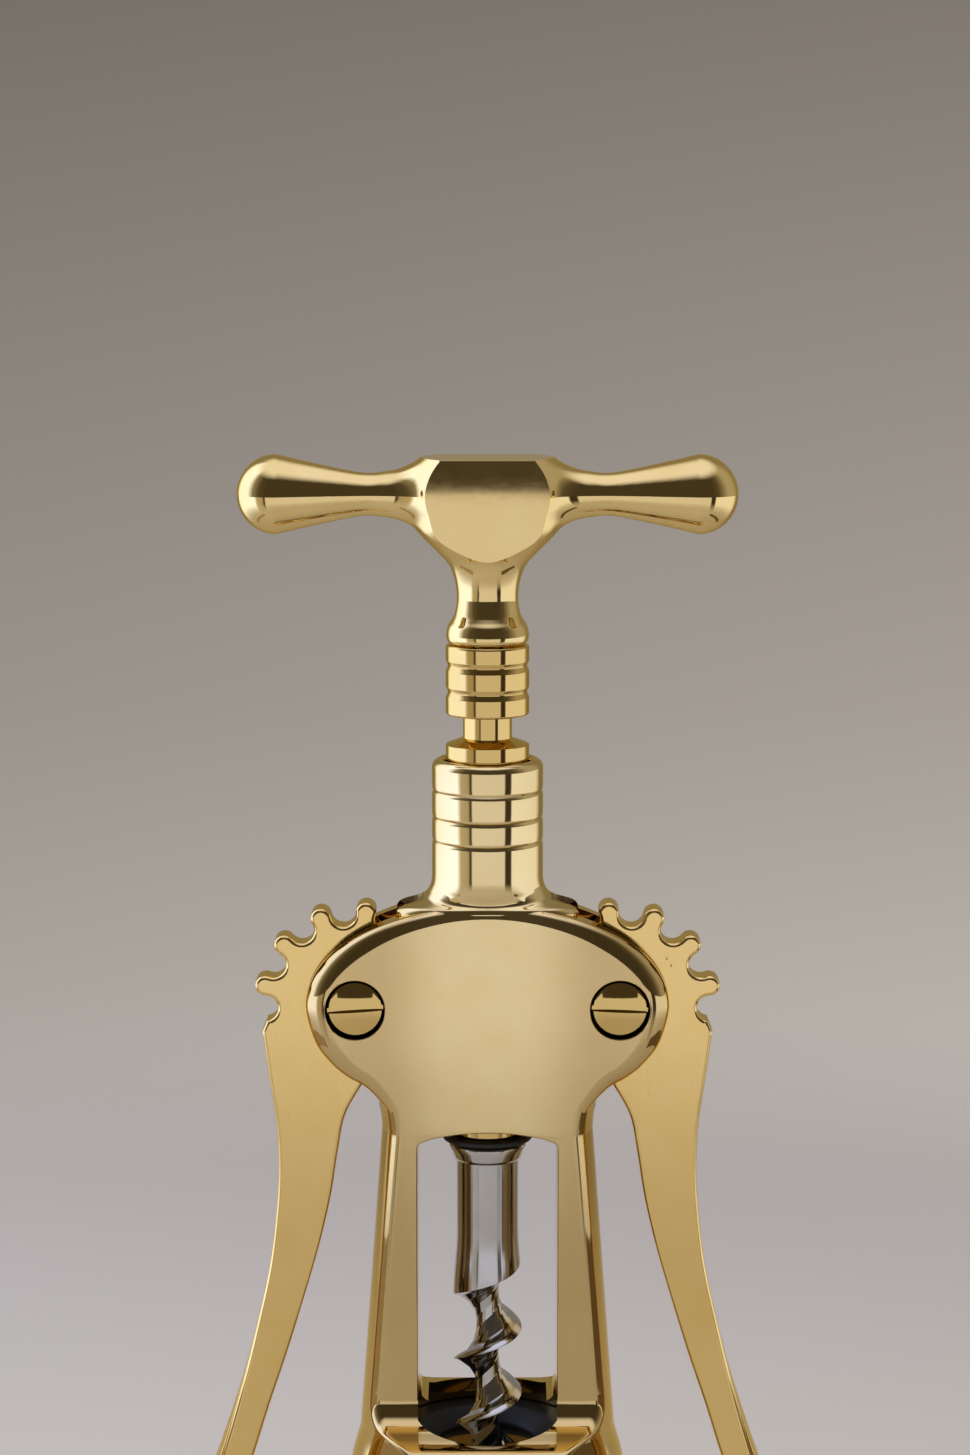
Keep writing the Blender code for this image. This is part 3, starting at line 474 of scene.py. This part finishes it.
# The window, whose front and back edges are eased above the collar.
window_w, window_z, window_top_z = 0.01035, 0.0268, 0.0692
sill_r, lintel_r, lintel_rise = 0.0026, 0.0009, 0.0014
lip, lip_z = 0.0003, 0.0298
right = arc((window_w - sill_r, window_z + sill_r), sill_r, -90, 0, 10)
right += [(window_w, lip_z), (window_w, lip_z + 0.0007)]
right += arc((window_w - lintel_r, window_top_z - lintel_r), lintel_r, 0, 75, 5)
right += [(window_w * s, window_top_z + lintel_rise * (1 - s * s)) for s in (0.8, 0.6, 0.4, 0.2)]
hole = right + [(0, window_top_z + lintel_rise)] + [(-x, z) for x, z in reversed(right)]
sections = []
for t in (0, 30, 60, 90):
    amount = lip * (1 - math.cos(math.radians(t)))
    y = head_half_t - lip + lip * math.sin(math.radians(t))
    amounts = [-amount * ease(0, 1, (z - lip_z) / 0.0010) for _, z in hole + hole[:1]]
    sections.append((y, inset(hole + hole[:1], amounts)[:-1]))
sections.append((bell_r + past, sections[-1][1]))
sections = [(-y, line) for y, line in reversed(sections)] + sections
cutters = [piece_from("window", loft([[(x, y, z) for x, z in line] for y, line in sections]))]

# The throat between window and bell, which is open to the front as far up as the legs.
throat_r, throat_top_z = 0.0136, 0.0312
turn = math.degrees(math.acos(window_w / throat_r))
arch = arc((0, 0), throat_r, turn, 180 - turn, 40)
front_arch = [(-x, -y) for x, y in arch]
for top, line in ((window_z + 0.0003, arch + front_arch),
                  (throat_top_z, front_arch + [(window_w, 0.001), (-window_w, 0.001)])):
    cutters.append(piece_from("throat", loft([[(x, y, z) for x, y in line] for z in (guide_top_z, top)])))

profile = [(0, -past), (bell_bore_r + 0.0006, -past), (bell_bore_r + 0.0006, 0),
           (bell_bore_r + 0.0001, 0.0005), (bell_bore_r, 0.001), (bell_bore_r, guide_seat_z),
           (guide_seat_r, guide_seat_z), (guide_seat_r, guide_top_z + 0.0002),
           (rack_bore_r, guide_top_z + 0.0002), (rack_bore_r, tube_top_z - ream)]
profile += [(rack_bore_r + ream * (1 - math.cos(math.radians(t))),
             tube_top_z - ream * (1 - math.sin(math.radians(t)))) for t in (20, 40, 60, 80)]
profile += [(rack_bore_r + ream, tube_top_z + past), (0, tube_top_z + past)]
cutters.append(piece_from("core", lathe(profile)))

# The lever slots, and each pivot's counterbore, bore and pocket.
slot_half, slot_end_x, slot_z = 0.0028, 0.0095, 0.0735
head_r, head_seat, shank_r, shank_end_r = 0.00412, 0.0022, 0.0029, 0.0024
bore, lever_bore_r, end_bore_r = head_r + fit, shank_r + fit, shank_end_r + fit
pocket_r, pocket_half = 0.01575, 0.0031
sunk = head_seat - head_half_t
for way in (-1, 1):
    line = arc((slot_end_x + slot_half, 0), slot_half, 90, 270, 12)
    line += [(head_half_w + past, -slot_half), (head_half_w + past, slot_half)]
    cutters.append(piece_from("slot", loft([[(way * x, y, z) for x, y in line] for z in (slot_z, 0.110)])))
    profile = [(0, -0.012), (bore + 0.00012, -0.012), (bore + 0.00012, -head_half_t),
               (bore + 0.00004, -head_half_t + 0.00004), (bore, -head_half_t + 0.00012), (bore, sunk),
               (lever_bore_r, sunk), (lever_bore_r, -pocket_half), (pocket_r, -pocket_half),
               (pocket_r, pocket_half), (end_bore_r, pocket_half), (end_bore_r, head_half_t - 0.0002),
               (end_bore_r + 0.0002, head_half_t), (end_bore_r + 0.0002, 0.012), (0, 0.012)]
    pivot = piece_from("pivot", lathe(profile, 72))
    lay_front(pivot, way * pivot_x, pivot_z)
    cutters.append(pivot)
carve(frame_casting, cutters)
smooth(frame_casting)
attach(frame_casting, "frame")
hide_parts("frame_body")


def grain(material, where, stretch, detail):
    """A fine pattern, stretched along one way; stretch is its fineness on each axis."""
    along = work_out_3(material, "MULTIPLY", where, stretch)
    return wire(material, "ShaderNodeTexNoise", Vector=along, Scale=1.0, Detail=detail).outputs["Fac"]


def in_gap(material, where, front, behind):
    """Where painted shade goes: 1 in the gap round each screw, between two depths, about half in the lever
    slots, and 0 elsewhere.
    """
    folded = work_out_3(material, "ABSOLUTE", where)
    from_pivot = work_out_3(material, "SUBTRACT", folded, (pivot_x, 0, pivot_z))
    away = length_of(material, work_out_3(material, "MULTIPLY", from_pivot, (1, 0, 1)))
    near = work_out(material, "LESS_THAN", away, bore + 0.00018)
    depth = wire(material, "ShaderNodeSeparateXYZ", Vector=where).outputs["Y"]
    within = work_out(material, "COMPARE", depth, (front + behind) / 2, (behind - front) / 2)
    round_screw = work_out(material, "MULTIPLY", near, within)
    inner = wire(material, "ShaderNodeSeparateXYZ", Vector=folded)
    slots = 0.55
    for axis, low, high in (("X", slot_end_x - 0.0001, 0.05), ("Y", -0.01, slot_half + 0.00006),
                            ("Z", slot_z - 0.0005, 0.1066)):
        inside = work_out(material, "COMPARE", inner.outputs[axis], (low + high) / 2, (high - low) / 2)
        slots = work_out(material, "MULTIPLY", slots, inside)
    return work_out(material, "MAXIMUM", round_screw, slots)


def brass(name, colour, roughness, stretch, line_depth, pits, gap=None, painted_outward_shade=None):
    """Bright brass: clouds of tone, fine polishing lines along one way, and small casting pits.

    Painted shade makes it nearly black in a gap between two depths, where it is also rough, and painted shade
    deepens its tone away from a middle point.
    """
    material, shader, where = new_finish(name)
    shader.inputs["Metallic"].default_value = 1
    shader.inputs["Specular Tint"].default_value = (1.0, 0.84, 0.46, 1)
    clouds = wire(material, "ShaderNodeTexNoise", Vector=where, Scale=160.0, Detail=4.0)
    dim = [c * s for c, s in zip(colour, (0.97, 0.95, 0.88))]
    seen = tones(material, clouds.outputs["Fac"], (0.30, dim), (0.72, colour)).outputs["Color"]
    # Painted shade: the tone darkens outward from a middle point, and more slowly up and down.
    if painted_outward_shade:
        middle, edge_shade = painted_outward_shade
        from_middle = work_out_3(material, "SUBTRACT", where, middle)
        away = length_of(material, work_out_3(material, "MULTIPLY", from_middle, (1, 1, 0.25)))
        outward_shade_tone = tones(material, share_of(material, away, From_Max=0.040), (0.13, (1, 1, 1)),
                    (0.42, [c * 0.87 for c in edge_shade]), (0.85, edge_shade))
        outward_shade_tone.color_ramp.interpolation = "EASE"
        seen = wire(material, "ShaderNodeMix", {0: 1, 6: seen, 7: outward_shade_tone.outputs["Color"]}, data_type="RGBA",
                    blend_type="MULTIPLY").outputs[2]
    lines = grain(material, where, stretch, 3.0)
    polish = share_of(material, lines, From_Min=0.35, From_Max=0.75, To_Min=roughness * 0.8,
                      To_Max=roughness * 1.35)
    # Painted shade: the gap is painted nearly black, and it is made rough too.
    if gap:
        gap_shade_mask = in_gap(material, where, *gap)
        painted_gap_shade = (0.014, 0.010, 0.006, 1)
        seen = wire(material, "ShaderNodeMix", {0: gap_shade_mask, 6: seen, 7: painted_gap_shade}, data_type="RGBA").outputs[2]
        polish = wire(material, "ShaderNodeMix", {0: gap_shade_mask, 2: polish, 3: 0.7}, data_type="FLOAT").outputs[0]
    plug(material, seen, shader.inputs["Base Color"])
    plug(material, polish, shader.inputs["Roughness"])
    cells = wire(material, "ShaderNodeTexVoronoi", Vector=where, Scale=520.0)
    spots = share_of(material, cells.outputs["Distance"], From_Min=0.02, From_Max=0.13)
    patches = wire(material, "ShaderNodeTexNoise", Vector=where, Scale=90.0, Detail=2.0)
    some = share_of(material, patches.outputs["Fac"], From_Min=0.66 - pits, From_Max=0.72 - pits)
    shown = wire(material, "ShaderNodeMix", {0: some, 2: 1.0, 3: spots}, data_type="FLOAT").outputs[0]
    relief = wire(material, "ShaderNodeBump", Height=lines, Strength=line_depth, Distance=0.00003)
    pitted = wire(material, "ShaderNodeBump", Height=shown, Strength=0.6, Distance=0.00005,
                  Normal=relief.outputs["Normal"])
    plug(material, pitted.outputs["Normal"], shader.inputs["Normal"])
    return material


# Painted shade darkens the counterbore walls round the screws, and the lever slots by half; painted shade
# also darkens the plate outward from its middle.
frame_casting.data.materials.clear()
frame_casting.data.materials.append(
    brass("polished_casting", (0.76, 0.60, 0.315), 0.05, (900.0, 900.0, 120.0), 0.01, -0.1,
          gap=(-head_half_t + 0.0001, -0.003), painted_outward_shade=((0, -head_half_t, 0.0945), (0.86, 0.80, 0.72))))


# Bottle guide
# A moulded black nylon ring, pressed into the bell's seat. Its funnel leads the worm to the cork's middle.

guide_r = guide_seat_r - fit
low, high = guide_seat_z + fit, guide_top_z
profile = [(0.0100, low)] + arc((guide_r - 0.0006, low + 0.0006), 0.0006, -90, 0, 4)
profile += arc((guide_r - 0.0006, high - 0.0006), 0.0006, 0, 90, 4)
funnel = [(0.0106, high), (0.0098, high - 0.0002), (0.0080, high - 0.0013), (0.0070, mix(low, high, 0.5)),
          (0.0078, low + 0.0009), (0.0096, low + 0.0001)]
profile += smooth_through(funnel, 4)
bottle_guide = piece_from("guide_ring", lathe(profile, hollow=True))
smooth(bottle_guide)
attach(bottle_guide, "frame")
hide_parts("bottle_guide")


def grained(name, pattern, darkest, palest, dullness, bump=None, surface=None):
    """A finish with two tones in a pattern, and with roughness and bumps in that one or in a second.

    A pattern is its fineness on each axis and its detail. A bump is its strength and depth.
    """
    material, shader, where = new_finish(name)
    clouds = grain(material, where, *pattern)
    marks = grain(material, where, *surface) if surface else clouds
    tone = tones(material, clouds, (0, darkest), (1, palest))
    plug(material, tone.outputs["Color"], shader.inputs["Base Color"])
    dull = share_of(material, marks, To_Min=dullness[0], To_Max=dullness[1])
    plug(material, dull, shader.inputs["Roughness"])
    if bump:
        bumps = wire(material, "ShaderNodeBump", Height=marks, Strength=bump[0], Distance=bump[1])
        plug(material, bumps.outputs["Normal"], shader.inputs["Normal"])
    return material, shader


nylon, shader = grained("satin_nylon", ((2600.0, 2600.0, 2600.0), 3.0), (0.004, 0.004, 0.004),
                        (0.012, 0.012, 0.012), (0.32, 0.55), (0.25, 0.00003))
shader.inputs["Specular IOR Level"].default_value = 0.15
bottle_guide.data.materials.append(nylon)


# Levers
# Two flat brass castings whose gear teeth mesh with the rack's rings. The lower end spreads into a thumb pad.
# Each hangs in its slot on a pivot screw. Its edges are eased all round, at the teeth too.

tooth_step = math.radians(28.6)
tooth_phase = math.radians(6.5)
pitch_r, tip_r, gear_root_r, tip_round = 0.01376, 0.01515, 0.01155, 0.0015
lever_half_t, pad_half_t, pad_round = 0.0025, 0.0062, 0.0014
lever_end_x, lever_end_z = 0.0460, 0.0032
lever_reach, lever_drop = lever_end_x - pivot_x, pivot_z - lever_end_z
outer_shares = ((0.523, 0.051), (0.492, 0.122), (0.451, 0.210), (0.439, 0.282), (0.449, 0.354),
                (0.485, 0.452), (0.543, 0.541), (0.629, 0.645), (0.731, 0.745), (0.860, 0.858),
                (0.985, 0.960), (0.995, 0.992))
inner_shares = ((-0.027, 0.147), (0.064, 0.199), (0.105, 0.262), (0.147, 0.343), (0.214, 0.432),
                (0.297, 0.521), (0.399, 0.624), (0.501, 0.718), (0.591, 0.807), (0.700, 0.898),
                (0.820, 0.985), (0.895, 1.010))
edges = []
for shares in (outer_shares, inner_shares):
    edges.append(smooth_through([(-lever_reach * out, -lever_drop * down) for out, down in shares], 6))
outer_line, inner_line = edges

tip_at = tip_r - tip_round
lean = math.cos(tooth_step / 2)
valley_r = (tip_round ** 2 - tip_at ** 2 - gear_root_r ** 2 + 2 * tip_at * gear_root_r * lean)
valley_r /= 2 * (gear_root_r - tip_at * lean - tip_round)
valley_at = gear_root_r + valley_r
tip_turn = math.degrees(math.atan2(valley_at * math.sin(tooth_step / 2), valley_at * lean - tip_at))
valley_turn = math.degrees(math.atan2(tip_at * math.sin(tooth_step / 2), tip_at * lean - valley_at))


def valley(angle, start, end, steps):
    turn = math.degrees(angle)
    middle = (valley_at * math.cos(angle), valley_at * math.sin(angle))
    return arc(middle, valley_r, turn + start, turn + end, steps)


tooth_line = []
for k in range(4, -4, -1):
    middle = math.pi / 2 - tooth_phase - k * tooth_step
    if k == 4:
        tooth_line += valley(middle - tooth_step / 2, 180, valley_turn, 6)
    turn = math.degrees(middle)
    tooth_line += arc((tip_at * math.cos(middle), tip_at * math.sin(middle)), tip_round,
                      turn - tip_turn, turn + tip_turn, 18)[1:-1]
    tooth_line += valley(middle + tooth_step / 2, 360 - valley_turn, valley_turn, 12)
start = math.degrees(math.atan2(inner_line[0][1], inner_line[0][0]))
root_line = arc((0, 0), gear_root_r, start, 90 - math.degrees(tooth_phase + 4.5 * tooth_step), 8)[1:-1]
lever_line = inner_line[::-1] + root_line + tooth_line + outer_line


def pad_share(line):
    last = len(line) - 1
    return [ease(0, 1, (k / last - 0.55) / 0.45) for k in range(last + 1)]


spread = pad_share(inner_line)[::-1] + [0] * (len(root_line) + len(tooth_line)) + pad_share(outer_line)
outward = [0] * (len(lever_line) - len(outer_line)) + [1] * len(outer_line)
shrunk = inset(lever_line, [1] * len(lever_line))
count = len(lever_line)
edge = 0.0006
corner = [(1 - edge / lever_half_t * (1 - math.sin(math.radians(t))), edge * (1 - math.cos(math.radians(t))))
          for t in (0, 22, 45, 67, 90)]
levels = [(-share, back) for share, back in reversed(corner)] + [(-0.4, 0), (0, 0), (0.4, 0)] + corner
drilled = [(0, -0.007), (lever_bore_r, -0.007), (lever_bore_r, 0.007), (0, 0.007)]
lever_brass = brass("lever_brass", (0.78, 0.56, 0.225), 0.10, (1100.0, 1100.0, 90.0), 0.05, 0.05)
for name, side in (("left", 1), ("right", -1)):
    mesh = bmesh.new()
    rings = []
    for level, back_edge in levels:
        ring = []
        for k, (x, z) in enumerate(lever_line):
            half = mix(lever_half_t, pad_half_t, spread[k])
            back = back_edge + pad_round * spread[k] * outward[k] * level * level
            x += (shrunk[k][0] - x) * back
            z += (shrunk[k][1] - z) * back
            ring.append(mesh.verts.new((side * x, half * level, z)))
        rings.append(ring)
    for low, high in zip(rings, rings[1:]):
        for here in range(count):
            there = (here + 1) % count
            mesh.faces.new((low[here], low[there], high[there], high[here]))
    last = len(inner_line) - 1
    for ring in (rings[0], rings[-1]):
        for k in range(last):
            mesh.faces.new((ring[k], ring[k + 1], ring[count - 2 - k], ring[count - 1 - k]))
        mesh.faces.new(ring[last:count - last])
    lever = piece_from(name + "_wing", mesh)
    lever.data.transform(Matrix.Translation((-side * pivot_x, 0, pivot_z)))
    drill = piece_from("drill", lathe(drilled, 48))
    lay_front(drill, -side * pivot_x, pivot_z)
    carve(lever, [drill])
    smooth(lever)
    lever.data.materials.clear()
    lever.data.materials.append(lever_brass)
    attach(lever, name + "_lever")
    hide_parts(name + "_lever")


# Pivot screws
# Turned brass screws with low domed heads, sunk in counterbores. A plain shank carries the lever.

# Painted shade darkens the lower sides of the screw heads, down in the counterbores.
turned_brass = brass("turned_brass", (0.65, 0.46, 0.175), 0.045, (160.0, 160.0, 5200.0), 0.02, -0.1,
                     gap=(-0.0061, 0))
under = head_seat - head_half_t - fit
edge = under - 0.0010
crown = edge - 0.0005
profile = [(head_r * s, crown + 0.0005 * s * s) for s in (0, 0.15, 0.3, 0.45, 0.6, 0.75, 0.88)]
profile += arc((head_r - 0.0003, edge + 0.0002), 0.0003, 290, 360, 4)
profile += [(head_r, under), (shank_r, under), (shank_r, slot_half), (shank_end_r, slot_half),
            (shank_end_r, head_half_t - 0.0005), (0.0022, head_half_t - 0.0003), (0, head_half_t - 0.0003)]
reach, half = head_r + 0.001, 0.00042
corners = ((-reach, -half), (reach, -half), (reach, half), (-reach, half))
levels = (crown - 0.001, crown + 0.0011)
for name, side, tilt in (("left", -1, -3.5), ("right", 1, 2.0)):
    screw = piece_from(name + "_screw", lathe(profile, 72))
    lay_front(screw, side * pivot_x, pivot_z)
    groove = piece_from("slot", loft([[(x, y, z) for x, y in corners] for z in levels]))
    lay_front(groove, side * pivot_x, pivot_z, math.radians(tilt))
    carve(screw, [groove])
    smooth(screw, 30)
    screw.data.materials.clear()
    screw.data.materials.append(turned_brass)
    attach(screw, "frame")
    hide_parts(name + "_pivot_screw")


# Rack
# A turned brass sleeve on the spindle. Its rings mesh with both levers. Its grooved top meets the handle.

ring_r, ring_root_r, ring_half = 0.00615, 0.0036, 0.00115
end_r, peg_r = 0.0052, 0.00475
ring_pitch = pitch_r * tooth_step
ring_top_z, ring_count = 0.1265, 8
stem_bore_r = 0.0023
barrel_top_z, barrel_foot_z, rack_end_z = 0.1424, 0.1320, 0.0689
slant = (ring_r - ring_root_r) * math.tan(math.radians(20))
profile = [(stem_bore_r, barrel_top_z)] + arc((ring_r - 0.0004, barrel_top_z - 0.0004), 0.0004, 90, 0, 4)
for z in (0.1393, 0.1354):
    profile += [(ring_r, z + 0.0008), (ring_r - 0.00008, z + 0.0006), (ring_r - 0.0003, z + 0.0001),
                (ring_r - 0.0003, z - 0.0001), (ring_r - 0.00008, z - 0.0006), (ring_r, z - 0.0008)]
profile += arc((ring_r - 0.0004, barrel_foot_z + 0.0004), 0.0004, 0, -90, 4)
profile += arc((ring_root_r + 0.0003, barrel_foot_z - 0.0003), 0.0003, 90, 180, 4)
for k in range(ring_count):
    z = ring_top_z - k * ring_pitch
    profile += [(ring_root_r, z + ring_half + slant), (ring_r - 0.0002, z + ring_half + 0.00007),
                (ring_r, z + ring_half - 0.0001), (ring_r, z - ring_half + 0.0001),
                (ring_r - 0.0002, z - ring_half - 0.00007), (ring_root_r, z - ring_half - slant)]
end_z = ring_top_z - (ring_count - 0.5) * ring_pitch
profile += [(ring_root_r, end_z), (end_r - 0.0001, end_z), (end_r, end_z - 0.0001),
            (end_r, rack_end_z + 0.0003), (end_r - 0.0001, rack_end_z + 0.0002),
            (peg_r, rack_end_z + 0.0002), (peg_r, rack_end_z), (stem_bore_r, rack_end_z)]
rack = piece_from("ring_rack", lathe(profile, 96, hollow=True))
smooth(rack, 30)
rack.data.materials.append(turned_brass)
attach(rack, "rack")
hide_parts("rack_sleeve")


# Bumper washer
# A black rubber cup on the rack's lower end, which stops the rack softly against the head.

cup_r, cup_foot_z, cup_floor_z = 0.0067, 0.0680, 0.0686
profile = [(stem_bore_r, cup_foot_z)] + arc((cup_r - 0.0005, cup_foot_z + 0.0005), 0.0005, -90, 0, 4)
profile += arc((cup_r - 0.0003, rack_end_z - 0.0003), 0.0003, 0, 90, 4)
profile += [(peg_r + fit, rack_end_z), (peg_r + fit, cup_floor_z), (stem_bore_r, cup_floor_z)]
bumper = piece_from("bumper_cup", lathe(profile, 96, hollow=True))
smooth(bumper)
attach(bumper, "rack")
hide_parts("bumper_washer")

rubber, _ = grained("dull_rubber", ((900.0, 900.0, 900.0), 5.0), (0.006, 0.005, 0.005), (0.020, 0.018, 0.017),
                    (0.40, 0.62), (0.2, 0.00003))
bumper.data.materials.append(rubber)


# Spindle
# A drawn steel rod, hidden inside the rack, that turns the worm with the handle. The solid itself is kept.

rod, shader = grained("drawn_steel", ((4000.0, 4000.0, 150.0), 2.0), (0.42, 0.42, 0.42), (0.60, 0.60, 0.60),
                      (0.25, 0.45))
shader.inputs["Metallic"].default_value = 1
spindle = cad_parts["spindle"]
spindle.data.materials.clear()
spindle.data.materials.append(rod)


# T handle
# One brass casting: a turned foot, neck and hub flow into two turned arms that swell into bulbs.
# Flats are ground on the hub's front, back and top. It is pinned to the spindle and polished.

base_z, hub_top_z, arm_z = 0.1427, 0.1698, 0.1644
hub_half_w, hub_half_d = 0.0185, 0.0062
bulb_r, bulb_x, arm_end_x = 0.00585, 0.0308, 0.0366
join_z = 0.1495
foot_line = smooth_through(
    [(0.00575, base_z), (0.0060, 0.1431), (0.00608, 0.1439), (0.00585, 0.1451), (0.00525, 0.1461),
     (0.0048, 0.1471), (0.0045, 0.1492), (0.0048, 0.1518), (0.0058, 0.1544), (0.0074, 0.1565),
     (0.0090, 0.1581), (0.0096, 0.1595), (0.0090, 0.1615), (0.0070, 0.1644), (0.0040, 0.1675),
     (0.0001, 0.1700)], 6)
arm_line = smooth_through(
    [(0.0094, 0), (0.0092, 0.0040), (0.0084, 0.0064), (0.0073, 0.0079), (0.00615, 0.0091), (0.0049, 0.0105),
     (0.00385, 0.0127), (0.00335, 0.0150), (0.0032, 0.0185), (0.0047, 0.0259), (bulb_r, bulb_x)], 6)


def radius_at(line, at):
    """A turned shape's radius and slope at a place on its axis."""
    for (low_r, low), (high_r, high) in zip(line, line[1:]):
        if at <= high:
            break
    slope = (high_r - low_r) / (high - low)
    return low_r + slope * (at - low), slope


def stem_bore(low, high):
    """The cutter for the hole that the spindle goes into."""
    return piece_from("bore", lathe([(0, low), (stem_bore_r, low), (stem_bore_r, high), (0, high)], 48))


def over_hub(place):
    """How far a place lies outside the hub and the arms, flowed together, and the way out."""
    x, y, z = place
    radius, slope = radius_at(foot_line, z)
    out = max(math.hypot(x, y), 0.000001)
    from_hub, way_hub = out - radius, Vector((x / out, y / out, -slope))
    if abs(x) <= bulb_x:
        radius, slope = radius_at(arm_line, abs(x))
        out = max(math.hypot(y, z - arm_z), 0.000001)
        from_arm, way_arm = out - radius, Vector((-slope * math.copysign(1, x), y / out, (z - arm_z) / out))
    else:
        end_reach = arm_end_x - bulb_x
        along = (abs(x) - bulb_x) / end_reach
        size = math.sqrt(along ** 2 + (y ** 2 + (z - arm_z) ** 2) / bulb_r ** 2)
        from_arm = (size - 1) * bulb_r
        way_arm = Vector((math.copysign(along / end_reach, x), y / bulb_r ** 2, (z - arm_z) / bulb_r ** 2))
        way_arm *= bulb_r / size
    flow = 0.0022
    share = min(max(0.5 + 0.5 * (from_arm - from_hub) / flow, 0), 1)
    return mix(from_arm, from_hub, share) - flow * share * (1 - share), way_arm.lerp(way_hub, share)


hub_foot_z = join_z - 0.0015
hub = [(0, hub_foot_z)] + [place for place in foot_line if place[1] > hub_foot_z]
handle = piece_from("handle_casting", lathe(hub, 64))
right = arm_line + [(r, x) for x, r in arc((bulb_x, 0), arm_end_x - bulb_x, 90, 0, 18, bulb_r)[1:]]
right[-1] = (0, arm_end_x)
arms = piece_from("arms", lathe(right[::-1] + [(r, -x) for r, x in right[1:]], 64))
arms.rotation_euler = (0, math.pi / 2, 0)
arms.location = (0, 0, arm_z)
carve(handle, [arms], "UNION")
even = handle.modifiers.new("even", "REMESH")
even.mode = "VOXEL"
even.voxel_size = 0.00034
settle(handle)
for vertex in handle.data.vertices:
    if vertex.co.z > hub_foot_z + 0.0004:
        for _ in range(4):
            gap, way = over_hub(vertex.co)
            vertex.co -= way * (gap / way.length_squared)

# The casting's rough foot is cut off, its flats are ground, and the turned foot takes the rough one's place.
reach = arm_end_x + past
clear_d = 0.014
outline = [(-clear_d, 0.1400), (clear_d, 0.1400), (clear_d, join_z), (-clear_d, join_z)]
cutters = [piece_from("foot_cut", loft([[(x, y, z) for y, z in outline] for x in (-reach, reach)]))]
eased = 0.0003
flat_foot_z = join_z - 0.0003
outline = [(-clear_d, flat_foot_z), (-hub_half_d, flat_foot_z)]
outline += arc((eased - hub_half_d, hub_top_z - eased), eased, 180, 90, 2)
outline += arc((hub_half_d - eased, hub_top_z - eased), eased, 90, 0, 2)
outline += [(hub_half_d, flat_foot_z), (clear_d, flat_foot_z), (clear_d, 0.1760), (-clear_d, 0.1760)]
flats = loft([[(x, y, z) for y, z in outline] for x in (-hub_half_w, hub_half_w)])
cutters.append(piece_from("flats", flats))
carve(handle, cutters)
neck_r, _ = radius_at(foot_line, join_z)
foot = [(0, base_z)] + [place for place in foot_line if place[1] < join_z]
foot += [(neck_r, join_z), (neck_r - 0.0002, join_z + 0.0001), (neck_r - 0.0002, join_z + 0.0005),
         (0, join_z + 0.0005)]
carve(handle, [piece_from("foot", lathe(foot))], "UNION")
carve(handle, [stem_bore(base_z - past, base_z + 0.008)])
smooth(handle, 16)
handle.data.materials.clear()
handle.data.materials.append(
    brass("polished_handle", (0.75, 0.57, 0.26), 0.03, (500.0, 900.0, 900.0), 0.004, -0.1))
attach(handle, "spindle")
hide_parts("t_handle")


# Worm
# A right-handed worm cut from steel rod and plated bright: a thin blade winds up a slim core into the shank.

flange_z, flange_foot_z = 0.0677, 0.0652
shank_top_r, shank_foot_r = 0.0046, 0.00515
blade_pitch, blade_edge_z, blade_tip_z, blade_taper = 0.01005, 0.0340, 0.0080, 0.0090
core_r, point_r = 0.00165, 0.0004
blade_shares = ((0, 1), (0.025, 0.94), (0.07, 0.78), (0.13, 0.42), (0.26, 0.16), (0.42, 0.04), (0.60, 0),
                (0.76, 0.08), (0.88, 0.32), (0.97, 0.72), (1, 1))


def blade_share(at):
    for (low, low_value), (high, high_value) in zip(blade_shares, blade_shares[1:]):
        if at <= high:
            return mix(low_value, high_value, (at - low) / (high - low))
    return 1


sections = []
top = blade_edge_z + 2 * blade_pitch
count = 150
columns = 72
for i in range(count + 1):
    z = mix(blade_tip_z, top, i / count)
    taper = min((z - blade_tip_z) / blade_taper, 1)
    shank = ease(shank_foot_r, shank_top_r, (z - blade_edge_z - blade_pitch) / blade_pitch)
    edge = mix(point_r, shank, math.sqrt(taper))
    core = mix(point_r, core_r, taper)
    ring = []
    for k in range(columns):
        share = k / columns
        turns = (z - blade_edge_z) / blade_pitch - share
        depth = ease(1, 0, (turns - 0.55) / 0.37)
        radius = mix(edge, mix(core, edge, blade_share(share)), depth)
        angle = math.pi + math.tau * turns
        ring.append((radius * math.cos(angle), radius * math.sin(angle), z))
    sections.append(ring)
final = sections[-1]
flange = ((shank_top_r, flange_foot_z - 0.0003), (0.0047, flange_foot_z - 0.0001), (0.0049, flange_foot_z),
          (0.0051, flange_foot_z + 0.0003), (0.0054, mix(flange_foot_z, flange_z, 0.5)),
          (0.0057, flange_z - 0.0006), (0.0057, flange_z - 0.0003), (0.0055, flange_z - 0.00005),
          (0.0053, flange_z))
for radius, z in flange:
    sections.append([(x * radius / shank_top_r, y * radius / shank_top_r, z) for x, y, _ in final])
worm = piece_from("bladed_worm", loft(sections[::-1]))
carve(worm, [stem_bore(flange_z - 0.006, flange_z + past)])
smooth(worm, 50)

plate, shader = grained("bright_plate", ((300.0, 300.0, 300.0), 4.0), (0.45, 0.435, 0.425),
                        (0.54, 0.525, 0.515), (0.06, 0.16), (0.08, 0.00004),
                        surface=((700.0, 700.0, 140.0), 3.0))
shader.inputs["Metallic"].default_value = 1
worm.data.materials.clear()
worm.data.materials.append(plate)
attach(worm, "spindle")
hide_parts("worm")
